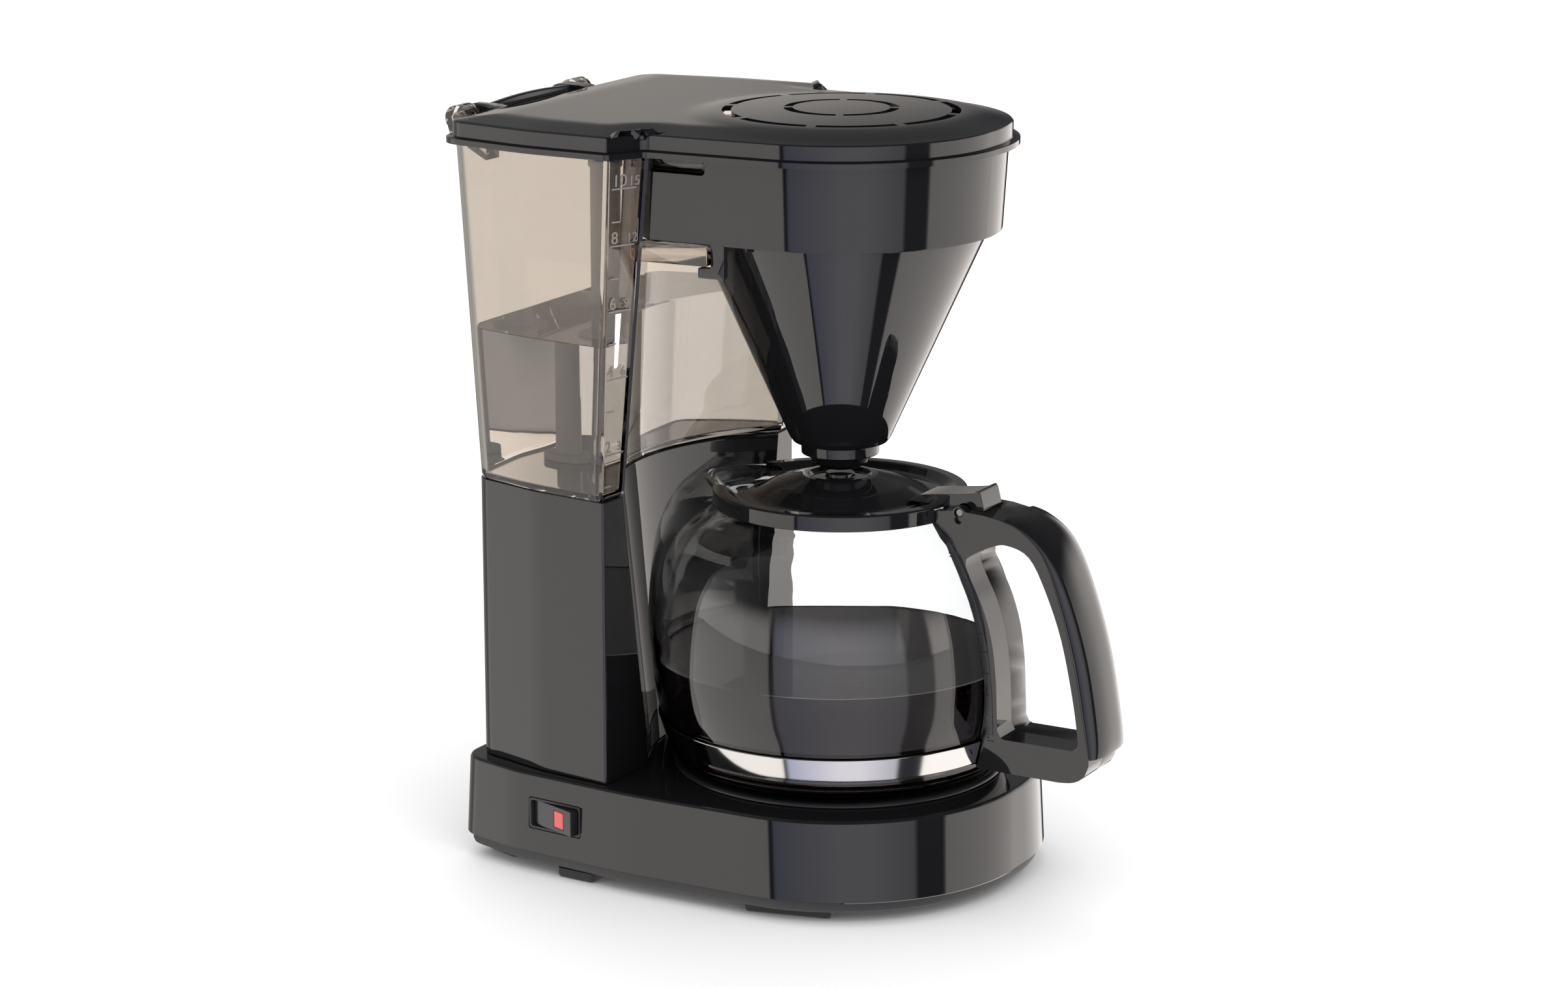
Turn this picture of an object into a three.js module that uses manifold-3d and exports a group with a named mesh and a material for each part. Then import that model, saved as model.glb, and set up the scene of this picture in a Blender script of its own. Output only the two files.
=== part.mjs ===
// Drip coffee maker: base with warming plate, tower, smoke-clear water tank, hinged lid,
// pull-out filter basket with drip-stop valve, and a glass carafe with handle and lid.
// Millimetres, +Z up. Sub-parts are drawn about the brew axis, the vertical line through
// the filter and the carafe; the handle points to -Y and the tank stands at +Y.
// The whole assembly is then moved along Y so that its origin is the centre of its footprint.

import * as THREE from "three";
import { mergeVertices } from "three/addons/utils/BufferGeometryUtils.js";
import Module from "manifold-3d";

const wasm = await Module();
wasm.setup();

// ---------------------------------------------------------------- driving dimensions

const GAP = 0.3; // clearance between pieces that touch
const WALL = 2.2; // moulded plastic wall
const ROUND = 32; // facets round a full turn
const GLASS_ROUND = 28;

const FOOT_TOP = 4;
const BASE_BOTTOM = 9;
const BASE_TOP = 40.6;
const PLATE_TOP = 42;
const PLATE_R = 64;
const TOWER_TOP = 151.5;
const TANK_FLOOR = 151.8;
const TANK_TOP = 283.7;
const BRIM_BOTTOM = 284;
const BRIM_TOP = 286.3;
const LID_EDGE = 291.3;
const LID_FLAT = 293.5;

const BAY_R_LOW = 86; // hollow of tower and tank round the carafe and the filter
const BAY_R_HIGH = 80;
const BAY_R_FOOT = 74.4; // the same hollow where the tower stands on the base
const BASKET_FLOOR = 251;
const CONE_R = 56.3;
const CONE_END_R = 19.5;
const CONE_END = 168;

const HINGE = { y: 142.5, z: 287.5, eyeX: 40.7, eyeR: 5, pinR: 2 };
const GRIP_TIP_Y = -117.2;
const CENTRE_Y = (HINGE.y + HINGE.eyeR + GRIP_TIP_Y) / 2;

const RISER = { x: 0, y: 104, r: 5.5 };
const INLET = { x: -30, y: 104, r: 4.5 };
const HANDLE_HALF = 12.8;
const LID_PIN = { y: -57, z: 148.6, r: 1.5 };
const SWITCH = { x: -76.1, y: 83.3, z: 25, length: 24.6, height: 12.2, turn: -5.5 };

// ---------------------------------------------------------------- shape helpers

/** Plan corners [x, y, radius, segments] of the right half, front to back, with the left half added. */
function mirrored(half) {
  const left = half.filter(([x]) => x > 0).map(([x, y, r, n]) => [-x, y, r, n]);
  return [...half, ...left.reverse()];
}

/** Moves every edge of a corner list inwards by a distance; round corners keep their centres. */
function inset(corners, distance) {
  const count = corners.length;
  const edge = (i) => {
    const [ax, ay] = corners[i % count];
    const [bx, by] = corners[(i + 1) % count];
    const length = Math.hypot(bx - ax, by - ay);
    const n = [-(by - ay) / length, (bx - ax) / length];
    return { n, c: n[0] * ax + n[1] * ay + distance };
  };
  return corners.map(([, , r, segments], i) => {
    const a = edge((i + count - 1) % count);
    const b = edge(i);
    const det = a.n[0] * b.n[1] - a.n[1] * b.n[0];
    const x = (a.c * b.n[1] - b.c * a.n[1]) / det;
    const y = (a.n[0] * b.c - b.n[0] * a.c) / det;
    return [x, y, Math.max(0.3, r - Math.sign(det) * distance), segments];
  });
}

/** Points of a corner list with each corner rounded by an arc of its own radius. */
function outline(corners) {
  const count = corners.length;
  return corners.flatMap(([x, y, r, segments], i) => {
    const at = new THREE.Vector2(x, y);
    const before = new THREE.Vector2(...corners[(i + count - 1) % count]).sub(at).normalize();
    const after = new THREE.Vector2(...corners[(i + 1) % count]).sub(at).normalize();
    const half = before.angleTo(after) / 2;
    const centre = before.clone().add(after).normalize().multiplyScalar(r / Math.sin(half)).add(at);
    const start = before.clone().multiplyScalar(r / Math.tan(half)).add(at).sub(centre);
    const turn = Math.sign(before.cross(after)) * -(Math.PI - 2 * half);
    return Array.from({ length: segments + 1 }, (_, k) =>
      start.clone().rotateAround(new THREE.Vector2(), (turn * k) / segments).add(centre));
  });
}

/** Closed skin through rings of 3-D points, with a fan cap on the first and the last ring. */
function loft(rings) {
  const size = rings[0].length;
  const middle = (ring) => ring.reduce((sum, p) => sum.add(p), new THREE.Vector3()).divideScalar(size);
  const points = [...rings.flat(), middle(rings[0]), middle(rings.at(-1))];
  const index = [];
  for (let k = 0; k + 1 < rings.length; k += 1) {
    for (let i = 0; i < size; i += 1) {
      const [a, b] = [k * size + i, k * size + ((i + 1) % size)];
      index.push(a, b, b + size, a, b + size, a + size);
    }
  }
  const last = (rings.length - 1) * size;
  for (let i = 0; i < size; i += 1) {
    const j = (i + 1) % size;
    index.push(points.length - 2, j, i, points.length - 1, last + i, last + j);
  }
  return new THREE.BufferGeometry().setFromPoints(points).setIndex(index);
}

/** Loft through flat outlines, each given as [corner list, z]. */
function stack(...levels) {
  return loft(levels.map(([corners, z]) => outline(corners).map((p) => new THREE.Vector3(p.x, p.y, z))));
}

/** Turned shape about the Z axis from a closed [radius, z] profile. */
function turned(profile, segments = ROUND) {
  const points = [...profile, profile[0]].map(([r, z]) => new THREE.Vector2(r, z));
  return new THREE.LatheGeometry(points, segments).rotateX(Math.PI / 2);
}

function rod(r, z0, z1, x = 0, y = 0, segments = 20) {
  return new THREE.CylinderGeometry(r, r, z1 - z0, segments).rotateX(Math.PI / 2).translate(x, y, (z0 + z1) / 2);
}

/** Rod along X at (y, z). */
function axle(r, x0, x1, y, z, segments = 16) {
  return new THREE.CylinderGeometry(r, r, x1 - x0, segments).rotateZ(Math.PI / 2).translate((x0 + x1) / 2, y, z);
}

function block([x0, y0, z0], [x1, y1, z1]) {
  return new THREE.BoxGeometry(x1 - x0, y1 - y0, z1 - z0).translate((x0 + x1) / 2, (y0 + y1) / 2, (z0 + z1) / 2);
}

/** Side profile in (y, z), extruded along X from x0 to x1. */
function sideways(points, x0, x1) {
  const shape = new THREE.Shape(points.map(([y, z]) => new THREE.Vector2(y, z)));
  const geometry = new THREE.ExtrudeGeometry(shape, { depth: x1 - x0, bevelEnabled: false });
  return geometry.applyMatrix4(new THREE.Matrix4().set(0, 0, 1, x0, 1, 0, 0, 0, 0, 1, 0, 0, 0, 0, 0, 1));
}

/** Round bar along a smooth curve through points. */
function bar(points, r, steps, sides = 8) {
  const section = new THREE.Shape();
  section.absarc(0, 0, r, 0, Math.PI * 2);
  const path = points instanceof THREE.Curve ? points
    : new THREE.CatmullRomCurve3(points.map((p) => new THREE.Vector3(...p)));
  const corners = section.getSpacedPoints(sides).slice(0, -1);
  return new THREE.ExtrudeGeometry(new THREE.Shape(corners), { extrudePath: path, steps, bevelEnabled: false });
}

/** Smooth line through [y, z] points, sampled. */
function smooth(points, count) {
  return new THREE.SplineCurve(points.map((p) => new THREE.Vector2(...p))).getPoints(count).map((p) => [p.x, p.y]);
}

// ---------------------------------------------------------------- solids

/** Solid of a closed geometry; a skin that was wound inside out is turned over. */
function solid(geometry) {
  if (!(geometry instanceof THREE.BufferGeometry)) return geometry;
  const bare = geometry.clone();
  bare.deleteAttribute("normal");
  bare.deleteAttribute("uv");
  const merged = mergeVertices(bare, 1e-4);
  const made = (triVerts) => new wasm.Manifold(new wasm.Mesh({
    numProp: 3,
    vertProperties: new Float32Array(merged.attributes.position.array),
    triVerts: new Uint32Array(triVerts),
  }));
  const shape = made(merged.index.array);
  return shape.volume() > 0 ? shape : made([...merged.index.array].reverse());
}

const join = (...shapes) => shapes.map(solid).reduce((a, b) => a.add(b));
const cut = (shape, ...tools) => tools.map(solid).reduce((a, b) => a.subtract(b), solid(shape));
const common = (a, b) => solid(a).intersect(solid(b));

function geometryOf(shape) {
  const mesh = shape.getMesh();
  const geometry = new THREE.BufferGeometry();
  const positions = [];
  for (let i = 0; i < mesh.vertProperties.length; i += mesh.numProp) {
    positions.push(...mesh.vertProperties.slice(i, i + 3));
  }
  geometry.setAttribute("position", new THREE.Float32BufferAttribute(positions, 3));
  geometry.setIndex([...mesh.triVerts]);
  geometry.computeVertexNormals();
  return geometry;
}

const FINISH = {
  black_gloss: [0x101012, 0.12, 0],
  black_matt: [0x1a1a1b, 0.6, 0],
  smoke: [0xb9ae9f, 0.15, 0],
  glass: [0xd8dcdc, 0.05, 0],
  steel: [0xc8c8c6, 0.2, 1],
  plate: [0x202022, 0.35, 0.4],
  aluminium: [0xa9abad, 0.4, 1],
  rubber: [0x2a2a2a, 0.85, 0],
  silicone: [0xd6d2c8, 0.6, 0],
  red: [0xb8272a, 0.2, 0],
  grey: [0x55585a, 0.5, 0],
  blue_wire: [0x2f5f9f, 0.5, 0],
  brown_wire: [0x5c3a26, 0.5, 0],
};

const assembly = new THREE.Group();
assembly.name = "drip_coffee_maker";
assembly.position.y = -CENTRE_Y;

function part(name, shape, finish) {
  const [color, roughness, metalness] = FINISH[finish];
  const mesh = new THREE.Mesh(geometryOf(solid(shape)), new THREE.MeshStandardMaterial({ color, roughness, metalness }));
  mesh.name = name;
  assembly.add(mesh);
}

// ---------------------------------------------------------------- plan outlines

const BASE_PLAN = mirrored([
  [79.4, -77.6, 76, 12], [79.4, 50, 200, 2], [74.2, 104, 60, 3], [66.5, 132, 12, 4],
]);
const TANK_TOP_PLAN = mirrored([
  [66.5, 46.5, 1.5, 2], [80.8, 54.2, 2.5, 3], [79.6, 90, 120, 3], [72.5, 129, 11, 4],
]);
const TANK_LOW_PLAN = mirrored([
  [62.5, 60.4, 1.5, 2], [76.6, 61.4, 2.5, 3], [72.2, 94, 120, 3], [62.5, 126, 11, 4],
]);
const TOWER_PLAN = mirrored([
  [61, 60.6, 1.5, 2], [74.3, 61.2, 2, 3], [70.2, 94, 120, 3], [60.6, 127.4, 10, 4],
]);
const BRIM_PLAN = mirrored([
  [65.2, -65.8, 65, 12], [69.8, 44.6, 2, 2], [83.6, 52.8, 3, 3], [82.8, 90, 120, 3], [75.5, 131.6, 12, 4],
]);
const BAND_LOW_PLAN = mirrored([[61, -61, 60.8, 12], [63, 90, 0.5, 1]]);
const BAND_TOP_PLAN = mirrored([[63, -63, 62.8, 12], [64.4, 90, 0.5, 1]]);

/** Hollow for the carafe and filter: wide at the bottom, narrower at the top. */
function bay(grow, z0, z1) {
  const radius = (z) => BAY_R_LOW + ((BAY_R_HIGH - BAY_R_LOW) * (z - TANK_FLOOR)) / (TANK_TOP - TANK_FLOOR) + grow;
  return turned([[0, z0], [radius(z0), z0], [radius(z1), z1], [0, z1]], 60);
}

/** The tower's part of the hollow, drawn in towards the base. */
function towerBay(grow, z0, z1) {
  const slope = (BAY_R_LOW - BAY_R_FOOT) / (TANK_FLOOR - BASE_TOP);
  const radius = (z) => BAY_R_FOOT + slope * (z - BASE_TOP) + grow;
  return turned([[0, z0], [radius(z0), z0], [radius(z1), z1], [0, z1]], 60);
}

// ---------------------------------------------------------------- base

function makeBase() {
  const floor = inset(BASE_PLAN, -0.8);
  const shell = cut(
    stack([floor, BASE_BOTTOM], [inset(BASE_PLAN, 0.3), BASE_TOP - 0.8], [inset(BASE_PLAN, 1.1), BASE_TOP]),
    stack([inset(floor, WALL + 0.4), BASE_BOTTOM - 1], [inset(BASE_PLAN, WALL + 1), BASE_TOP - WALL]),
    rod(59, 30, 50, 0, 0, ROUND),
    cut(stack([inset(TOWER_PLAN, 6), 30], [inset(TOWER_PLAN, 6), 50]), bay(3.4, 20, 60)),
  );
  const { z, length, height } = SWITCH;
  const port = onSide(block([-12, -length / 2 - GAP, z - height / 2 - GAP], [12, length / 2 + GAP, z + height / 2 + GAP]));
  const inlet = new THREE.CylinderGeometry(5.8, 5.8, 20, 20).translate(-38, 130, 20);
  part("base_shell", cut(shell, port, inlet), "black_gloss");

  const posts = [[-52, -38], [52, -38], [-48, 112], [48, 112]];
  const rim = inset(BASE_PLAN, 0.9);
  const tray = cut(
    stack([inset(BASE_PLAN, 3.4), FOOT_TOP], [rim, FOOT_TOP + 2.2], [rim, BASE_BOTTOM - GAP]),
    stack([inset(BASE_PLAN, 5.4), FOOT_TOP + WALL], [inset(BASE_PLAN, 5.4), BASE_BOTTOM + 1]),
  );
  let plate = join(
    tray,
    ...posts.map(([x, py]) => rod(4, 5, 15, x, py, 16)),
  );
  posts.forEach(([x, py], i) => {
    plate = cut(plate, rod(3.8, 3, 6, x, py, 16), rod(1.8, 3, 20, x, py, 12));
    part(`base_screw_${i + 1}`, join(rod(3.4, 4.4, 5.7, x, py, 12), rod(1.45, 5.5, 16, x, py, 10)), "steel");
  });
  part("bottom_plate", plate, "black_matt");

  const feet = [[-56, 117, -0.35], [-69.2, 76, -0.06], [-65.4, -14, 0.22]];
  feet.flatMap(([x, fy, turn]) => [[x, fy, turn], [-x, fy, -turn]]).forEach(([x, fy, turn], i) => {
    const half = Math.abs(fy) < 20 ? 17 : 8.5;
    const pad = mirrored([[4.5, -half, 2, 2], [4.5, half, 2, 2]]);
    const shape = stack([inset(pad, 0.7), 0], [pad, 1], [pad, FOOT_TOP - GAP]);
    part(`foot_${i + 1}`, shape.rotateZ(turn).translate(x, fy, 0), "rubber");
  });

  part("warming_plate", turned([
    [0, PLATE_TOP - 1.1], [55.6, PLATE_TOP - 1.1], [55.6, 38], [57, 38], [57, PLATE_TOP - 1.1],
    [PLATE_R, PLATE_TOP - 1.1], [PLATE_R + 0.6, PLATE_TOP - 0.7], [PLATE_R - 0.4, PLATE_TOP], [0, PLATE_TOP],
  ], 40), "plate");
}

// ---------------------------------------------------------------- heater and water path

function makeHeater() {
  const top = PLATE_TOP - 1.1 - GAP;
  const low = top - 11;
  const bend = Array.from({ length: 9 }, (_, i) => {
    const a = Math.PI * (1 + i / 8);
    return [40 * Math.cos(a), 40 * Math.sin(a), top - 5];
  });
  part("heater_element", bar([[-33, 36, low], [-38, 22, top - 7], ...bend, [38, 22, top - 7], [33, 36, low]], 4.9, 26, 10),
    "aluminium");
  const bracket = cut(
    join(block([-50, -6, 27.4], [50, 6, 29]), block([-4.5, -4.5, 28.5], [4.5, 4.5, 30.6])),
    rod(2.3, 20, 40, 0, 0, 12),
  );
  part("heater_bracket", bracket, "steel");
  part("heater_screw", join(rod(4, 24.4, 27.1, 0, 0, 12), rod(2, 26, 34.5, 0, 0, 12)), "steel");
  part("thermostat", join(rod(8, 33.5, top, 0, 20, 16), rod(5, 30.2, 34, 0, 20, 12)), "grey");
  part("thermal_fuse", axle(2.2, -12, 12, -20, top - 2.6, 10), "steel");
  part("thermal_fuse_clip", cut(axle(3.6, -5, 5, -20, top - 2.6 - 1.4, 12), axle(2.5, -9, 9, -20, top - 2.6, 12),
    block([-9, -30, top - 3.4], [9, -10, 50])), "steel");

  part("inlet_hose", cut(
    bar([[INLET.x, INLET.y, 128], [INLET.x, INLET.y, 60], [-30, 101, 40], [-31, 84, 28], [-31.4, 58, 27.6],
      [-31.5, 45, low], [-32.2, 38.4, low]], 5.2, 15),
    rod(3.2, 90, 140, INLET.x, INLET.y, 10)), "silicone");
  part("riser_hose", cut(
    bar([[RISER.x, RISER.y, 88], [RISER.x, RISER.y, 48], [2, 102.4, 35], [10, 89, 26], [22, 66, 25],
      [31, 46, low - 1], [32.4, 38.6, low]], 7.2, 15),
    rod(RISER.r + GAP, 70, 95, RISER.x, RISER.y, 12)), "silicone");
  part("check_valve", join(
    rod(6.5, 133, 141, INLET.x, INLET.y, 16), rod(2.8, 118, 134, INLET.x, INLET.y, 10),
    rod(2.8, 140, 149, INLET.x, INLET.y, 10)), "grey");
  part("riser_tube", cut(rod(RISER.r, 74, 279.4, RISER.x, RISER.y, 14), rod(RISER.r - 1.4, 70, 290, RISER.x, RISER.y, 14)),
    "smoke");
  const { x, y, r } = RISER;
  part("riser_seal", turned([
    [r + 0.4, 148], [r + 3, 148], [r + 3, TANK_FLOOR + WALL + GAP], [r + 5, TANK_FLOOR + WALL + GAP],
    [r + 5, 157], [r + 0.4, 157],
  ], 16).translate(x, y, 0), "silicone");
  makeOutlet();
}

/** Arm that carries hot water from the riser over the bay to the middle of the filter. */
function makeOutlet() {
  const [z0, z1] = [275.4, 282.4];
  const arm = join(block([-6.5, 0, z0], [6.5, RISER.y, z1]), rod(9, z0, z1, 0, RISER.y, 20), rod(9, z0 - 2, z1, 0, 0, 20));
  part("water_outlet", cut(
    arm,
    block([-4.5, 0, z0 + 1.6], [4.5, RISER.y, z1 - 1.6]),
    rod(RISER.r + GAP, z0 - 1, z1 - 2.7, 0, RISER.y, 14),
    rod(6.5, z0 - 1, z1 - 1.6, 0, 0, 16),
    rod(1.6, z0 - 4, z0 + 2, 0, 0, 10),
    rod(1.4, z0 - 4, z0 + 2, 4, 0, 8),
    rod(1.4, z0 - 4, z0 + 2, -4, 0, 8),
  ), "black_matt");
}

// ---------------------------------------------------------------- switch and wiring

/** Turns and moves a shape drawn about the middle of the switch onto the slanting side of the base. */
function onSide(shape) {
  return solid(shape).rotate([0, 0, SWITCH.turn]).translate([SWITCH.x, SWITCH.y, 0]);
}

function makeSwitch() {
  const { z, length, height } = SWITCH;
  const frame = (rim, x0, x1) => block([x0, rim - length / 2, z + rim - height / 2], [x1, length / 2 - rim, z + height / 2 - rim]);
  part("switch_bezel", onSide(cut(frame(0, -0.5, 8), frame(1.6, -1, 9))), "black_matt");
  part("switch_body", onSide(cut(frame(0.6, 8.3, 20), frame(1.8, 8, 17))), "grey");

  const reach = length / 2 - 2.8;
  const paddle = [[1.2, reach], [-1.2, 0.5], [-4.1, -reach + 0.6], [-2.6, -reach], [4.7, -reach], [6.3, 0], [4.3, reach]];
  const lens = [[0, -3.2], [-2.8, -3.2], [-4.3, -8.4], [0, -8.4]];
  const slab = (points, half) => new THREE.ExtrudeGeometry(
    new THREE.Shape(points.map((p) => new THREE.Vector2(...p))), { depth: half * 2, bevelEnabled: false }).translate(0, 0, z - half);
  const pocket = block([-9, -8.4 - GAP, z - 2.4 - GAP], [GAP, -3.2 + GAP, z + 2.4 + GAP]);
  part("switch_rocker", onSide(cut(slab(paddle, 3.7), pocket)), "black_gloss");
  part("switch_lamp", onSide(slab(lens, 2.4)), "red");

  const grommet = turned([[2.6, -6], [5.5, -6], [5.5, 4], [7.6, 4.3], [7.6, 6.6], [4, 9], [2.6, 9]], 18);
  part("cord_gland", grommet.rotateX(-Math.PI / 2).translate(-38, 129, 20), "rubber");
  part("wire_live", bar([[-38, 119, 18.5], [-40, 112, 17.5], [-48, 98, 17.5], [-54.2, 85.4, 23]], 1, 10, 6), "brown_wire");
  part("wire_switched", bar([[-53.8, 79, 23], [-46, 68, 18.6], [-26, 40, 18], [-8, 26, 22], [0, 20, 28.8]], 1, 14, 6), "brown_wire");
  part("wire_neutral", bar([[-36, 118, 23.2], [-26, 96, 19], [-10, 40, 19], [12, -8, 21], [18, -19, 30], [17, -20, 36], [13.7, -20, 37.9]],
    1, 18, 6), "blue_wire");
}

// ---------------------------------------------------------------- tower and tank

function makeTower() {
  const z0 = BASE_TOP + GAP;
  const body = cut(stack([inset(TOWER_PLAN, -0.2), z0], [TOWER_PLAN, TOWER_TOP]), towerBay(0, z0 - 1, TOWER_TOP + 1));
  const hollow = cut(stack([inset(TOWER_PLAN, WALL), z0 - 1], [inset(TOWER_PLAN, WALL + 0.2), TOWER_TOP + 1]),
    towerBay(WALL, z0 - 2, TOWER_TOP + 2));
  part("tower_shell", cut(body, hollow), "black_gloss");
}

function hingeEye(x, width) {
  const { y, z, eyeR } = HINGE;
  const back = 132.4;
  const arm = sideways([[127.6, z - 34], [back - 1.6, z - 30], [y - 1, z - 16], [y + eyeR - 0.4, z - 3], [y, z],
    [y - eyeR, z], [back + 0.4, z - 6.6], [127.6, z - 7.8]], x - width / 2, x + width / 2);
  return join(arm, axle(eyeR, x - width / 2, x + width / 2, y, z, 16));
}

function makeTank() {
  const [z0, z1] = [TANK_FLOOR, TANK_TOP];
  const outside = cut(stack([inset(TANK_LOW_PLAN, 1), z0], [TANK_LOW_PLAN, z0 + 1], [TANK_TOP_PLAN, z1]), bay(0, z0 - 1, z1 + 1));
  const inside = cut(stack([inset(TANK_LOW_PLAN, WALL), z0 + WALL], [inset(TANK_TOP_PLAN, WALL), z1 + 1]),
    bay(WALL, z0 - 2, z1 + 2));
  const sides = [-1, 1];
  const rails = sides.flatMap((s) => [
    block([Math.min(s * 58.8, s * 63.6), 22, 243], [Math.max(s * 58.8, s * 63.6), 55.5, BASKET_FLOOR - GAP]),
    block([Math.min(s * 56.4, s * 60), 25, 277.6], [Math.max(s * 56.4, s * 60), 57, 282.4]),
    hingeEye(s * HINGE.eyeX, 7.6),
  ]);
  const spigot = rod(INLET.r + 2, 143, z0 + 1, INLET.x, INLET.y, 16);
  const tank = cut(
    join(cut(outside, inside), spigot, ...rails),
    rod(INLET.r, 140, z0 + 10, INLET.x, INLET.y, 16),
    rod(RISER.r + 3 + GAP, z0 - 2, z0 + 5, RISER.x, RISER.y, 16),
    block([-8, 60, 273.4], [8, 92, z1 + 2]),
    axle(HINGE.pinR + GAP, -60, 60, HINGE.y, HINGE.z),
  );
  part("water_tank", tank, "smoke");
}

// ---------------------------------------------------------------- lid

function ventRing(rIn, rOut, count, offset) {
  const gap = THREE.MathUtils.degToRad(count > 4 ? 9 : 16);
  return Array.from({ length: count }, (_, i) => {
    const a = offset + (i * Math.PI * 2) / count + gap / 2;
    const b = a + (Math.PI * 2) / count - gap;
    const sector = new THREE.Shape();
    sector.absarc(0, 0, rOut, a, b, false);
    sector.absarc(0, 0, rIn, b, a, true);
    return new THREE.ExtrudeGeometry(sector, { depth: 20, bevelEnabled: false, curveSegments: 2 }).translate(0, 0, 284);
  });
}

function makeLid() {
  const wall = inset(BRIM_PLAN, 2.3);
  const crown = turned([[0, 290], [61.5, 290], [61.5, 291.6], [55, 293.6], [45, 295], [22, 295.8], [0, 296.2]]);
  const outside = join(
    stack([inset(BRIM_PLAN, -0.2), BRIM_BOTTOM], [inset(BRIM_PLAN, -0.2), BRIM_TOP]),
    stack([wall, BRIM_TOP - 1], [wall, LID_EDGE], [inset(BRIM_PLAN, 17.8), LID_FLAT]),
    crown,
  );
  const inside = join(
    stack([inset(wall, WALL), BRIM_BOTTOM - 1], [inset(wall, WALL), LID_EDGE - WALL], [inset(BRIM_PLAN, 18.5), LID_FLAT - WALL]),
    turned([[0, 288], [57, 288], [55, 291.2], [22, 293.4], [0, 293.6]]),
  );
  const { y, z, eyeX } = HINGE;
  const ears = [-1, 1].map((s) => {
    const [a, b] = [s * (eyeX - 12.2), s * (eyeX - 4.4)];
    const [x0, x1] = [Math.min(a, b), Math.max(a, b)];
    return join(
      sideways([[126, 286.8], [y - 1, z - 4], [y, z + 4.2], [126, LID_EDGE + 1.2]], x0, x1),
      axle(4.4, x0, x1, y, z, 16),
    );
  });
  const lid = join(cut(outside, inside), ...ears);
  part("lid", cut(lid, axle(HINGE.pinR + GAP, -60, 60, y, z), ...ventRing(41.5, 45, 9, 0.384), ...ventRing(18.4, 21.8, 4, 0)),
    "black_gloss");
  [-1, 1].forEach((s) => {
    const [a, b] = [s * (eyeX - 12), s * (eyeX + 4.2)];
    part(`hinge_pin_${s < 0 ? "left" : "right"}`, axle(HINGE.pinR, Math.min(a, b), Math.max(a, b), y, z, 12), "steel");
  });
}

// ---------------------------------------------------------------- filter basket

function makeBasket() {
  const z1 = TANK_TOP;
  const rear = (r) => rod(r, 200, 300, 0, 0, 72);
  const band = common(stack([BAND_LOW_PLAN, BASKET_FLOOR], [BAND_TOP_PLAN, z1]), rear(78.4));
  const bandHollow = common(
    stack([inset(BAND_LOW_PLAN, WALL), BASKET_FLOOR + WALL], [inset(BAND_TOP_PLAN, WALL), z1 + 1]), rear(78.4 - WALL));
  const cone = turned([[0, CONE_END], [CONE_END_R - 1.4, CONE_END], [CONE_END_R, CONE_END + 2], [CONE_R, BASKET_FLOOR + 0.5],
    [0, BASKET_FLOOR + 0.5]]);
  const coneHollow = turned([[0, CONE_END + WALL], [CONE_END_R - 2.4, CONE_END + WALL], [CONE_R - 2.4, BASKET_FLOOR],
    [CONE_R - 2.4, BASKET_FLOOR + 4], [0, BASKET_FLOOR + 4]]);
  const hooks = [-1, 1].map((s) => {
    const [x0, x1] = [Math.min(s * 58.8, s * 62.4), Math.max(s * 58.8, s * 62.4)];
    return join(block([x0, 16, 238.6], [x1, 21.6, BASKET_FLOOR + 1]), block([x0, 20, 238.6], [x1, 27, 242.5]));
  });
  const slots = [-1, 1].flatMap((s) => [
    block([Math.min(s * 55.6, s * 60.6), 44, 276.6], [Math.max(s * 55.6, s * 60.6), 70, z1 + 2]),
    block([Math.min(s * 60, s * 70), 23, 277], [Math.max(s * 60, s * 70), 46.5, 282.6]),
  ]);
  part("filter_basket", cut(
    join(band, cone, ...hooks), bandHollow, coneHollow,
    ...slots,
    block([-10.5, 60, 272], [10.5, 90, z1 + 2]),
    rod(10, CONE_END - 1, CONE_END + 5, 0, 0, 20),
  ), "black_gloss");

  part("drip_valve_body", turned([
    [5.4, 157.8], [7.8, 157.8], [10.6, 159.6], [12, 162.8], [14.8, 163.2], [15, 167.4],
    [9.6, 167.6], [9.6, 169.3], [7.7, 169.3], [7.7, 161], [5.4, 161],
  ], 24), "black_gloss");
  part("drip_valve_cap", turned([[3.5, 169.6], [9.4, 169.6], [9.4, 171.2], [3.5, 171.2]], 20), "black_matt");
  part("valve_plunger", turned([
    [0, 157], [4.2, 157], [5, 157.8], [5, 161.4], [7.2, 161.4], [7.2, 162.6], [3.1, 162.6],
    [3.1, 171.8], [6.8, 172.2], [6.8, 173.6], [0, 174.4],
  ], 20), "black_matt");
  const turns = 3;
  const steps = turns * 10;
  const coil = Array.from({ length: steps + 1 }, (_, i) => {
    const a = (i / steps) * turns * Math.PI * 2;
    return [5.4 * Math.cos(a), 5.4 * Math.sin(a), 163.5 + (5.2 * i) / steps];
  });
  part("valve_spring", bar(coil, 0.45, steps * 1.4, 5), "steel");
}

// ---------------------------------------------------------------- carafe

const GLASS_OUT = [
  [0, 43.6], [52, 43.2], [57, 42.4], [62, 43.4], [65.4, 47], [66.9, 52.4], [69.5, 61.2], [72, 73], [72.6, 88],
  [70.7, 110], [67, 122.9], [60.8, 132], [52.5, 138], [47.6, 141.6], [45.8, 144.6], [45.8, 148.5],
];
const GLASS_IN = [
  [43.7, 148.5], [43.7, 144], [46, 140.2], [58.8, 130.4], [64.8, 121.8], [68.4, 109.4],
  [70.2, 88], [69.4, 73], [64.4, 52.4], [59, 46], [0, 46],
];

function spoutRing(y, z, half, drop) {
  return Array.from({ length: 9 }, (_, i) => {
    const a = Math.PI * (1 + i / 8);
    return new THREE.Vector3(half * Math.cos(a), y, z + drop * Math.sin(a));
  });
}

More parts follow.
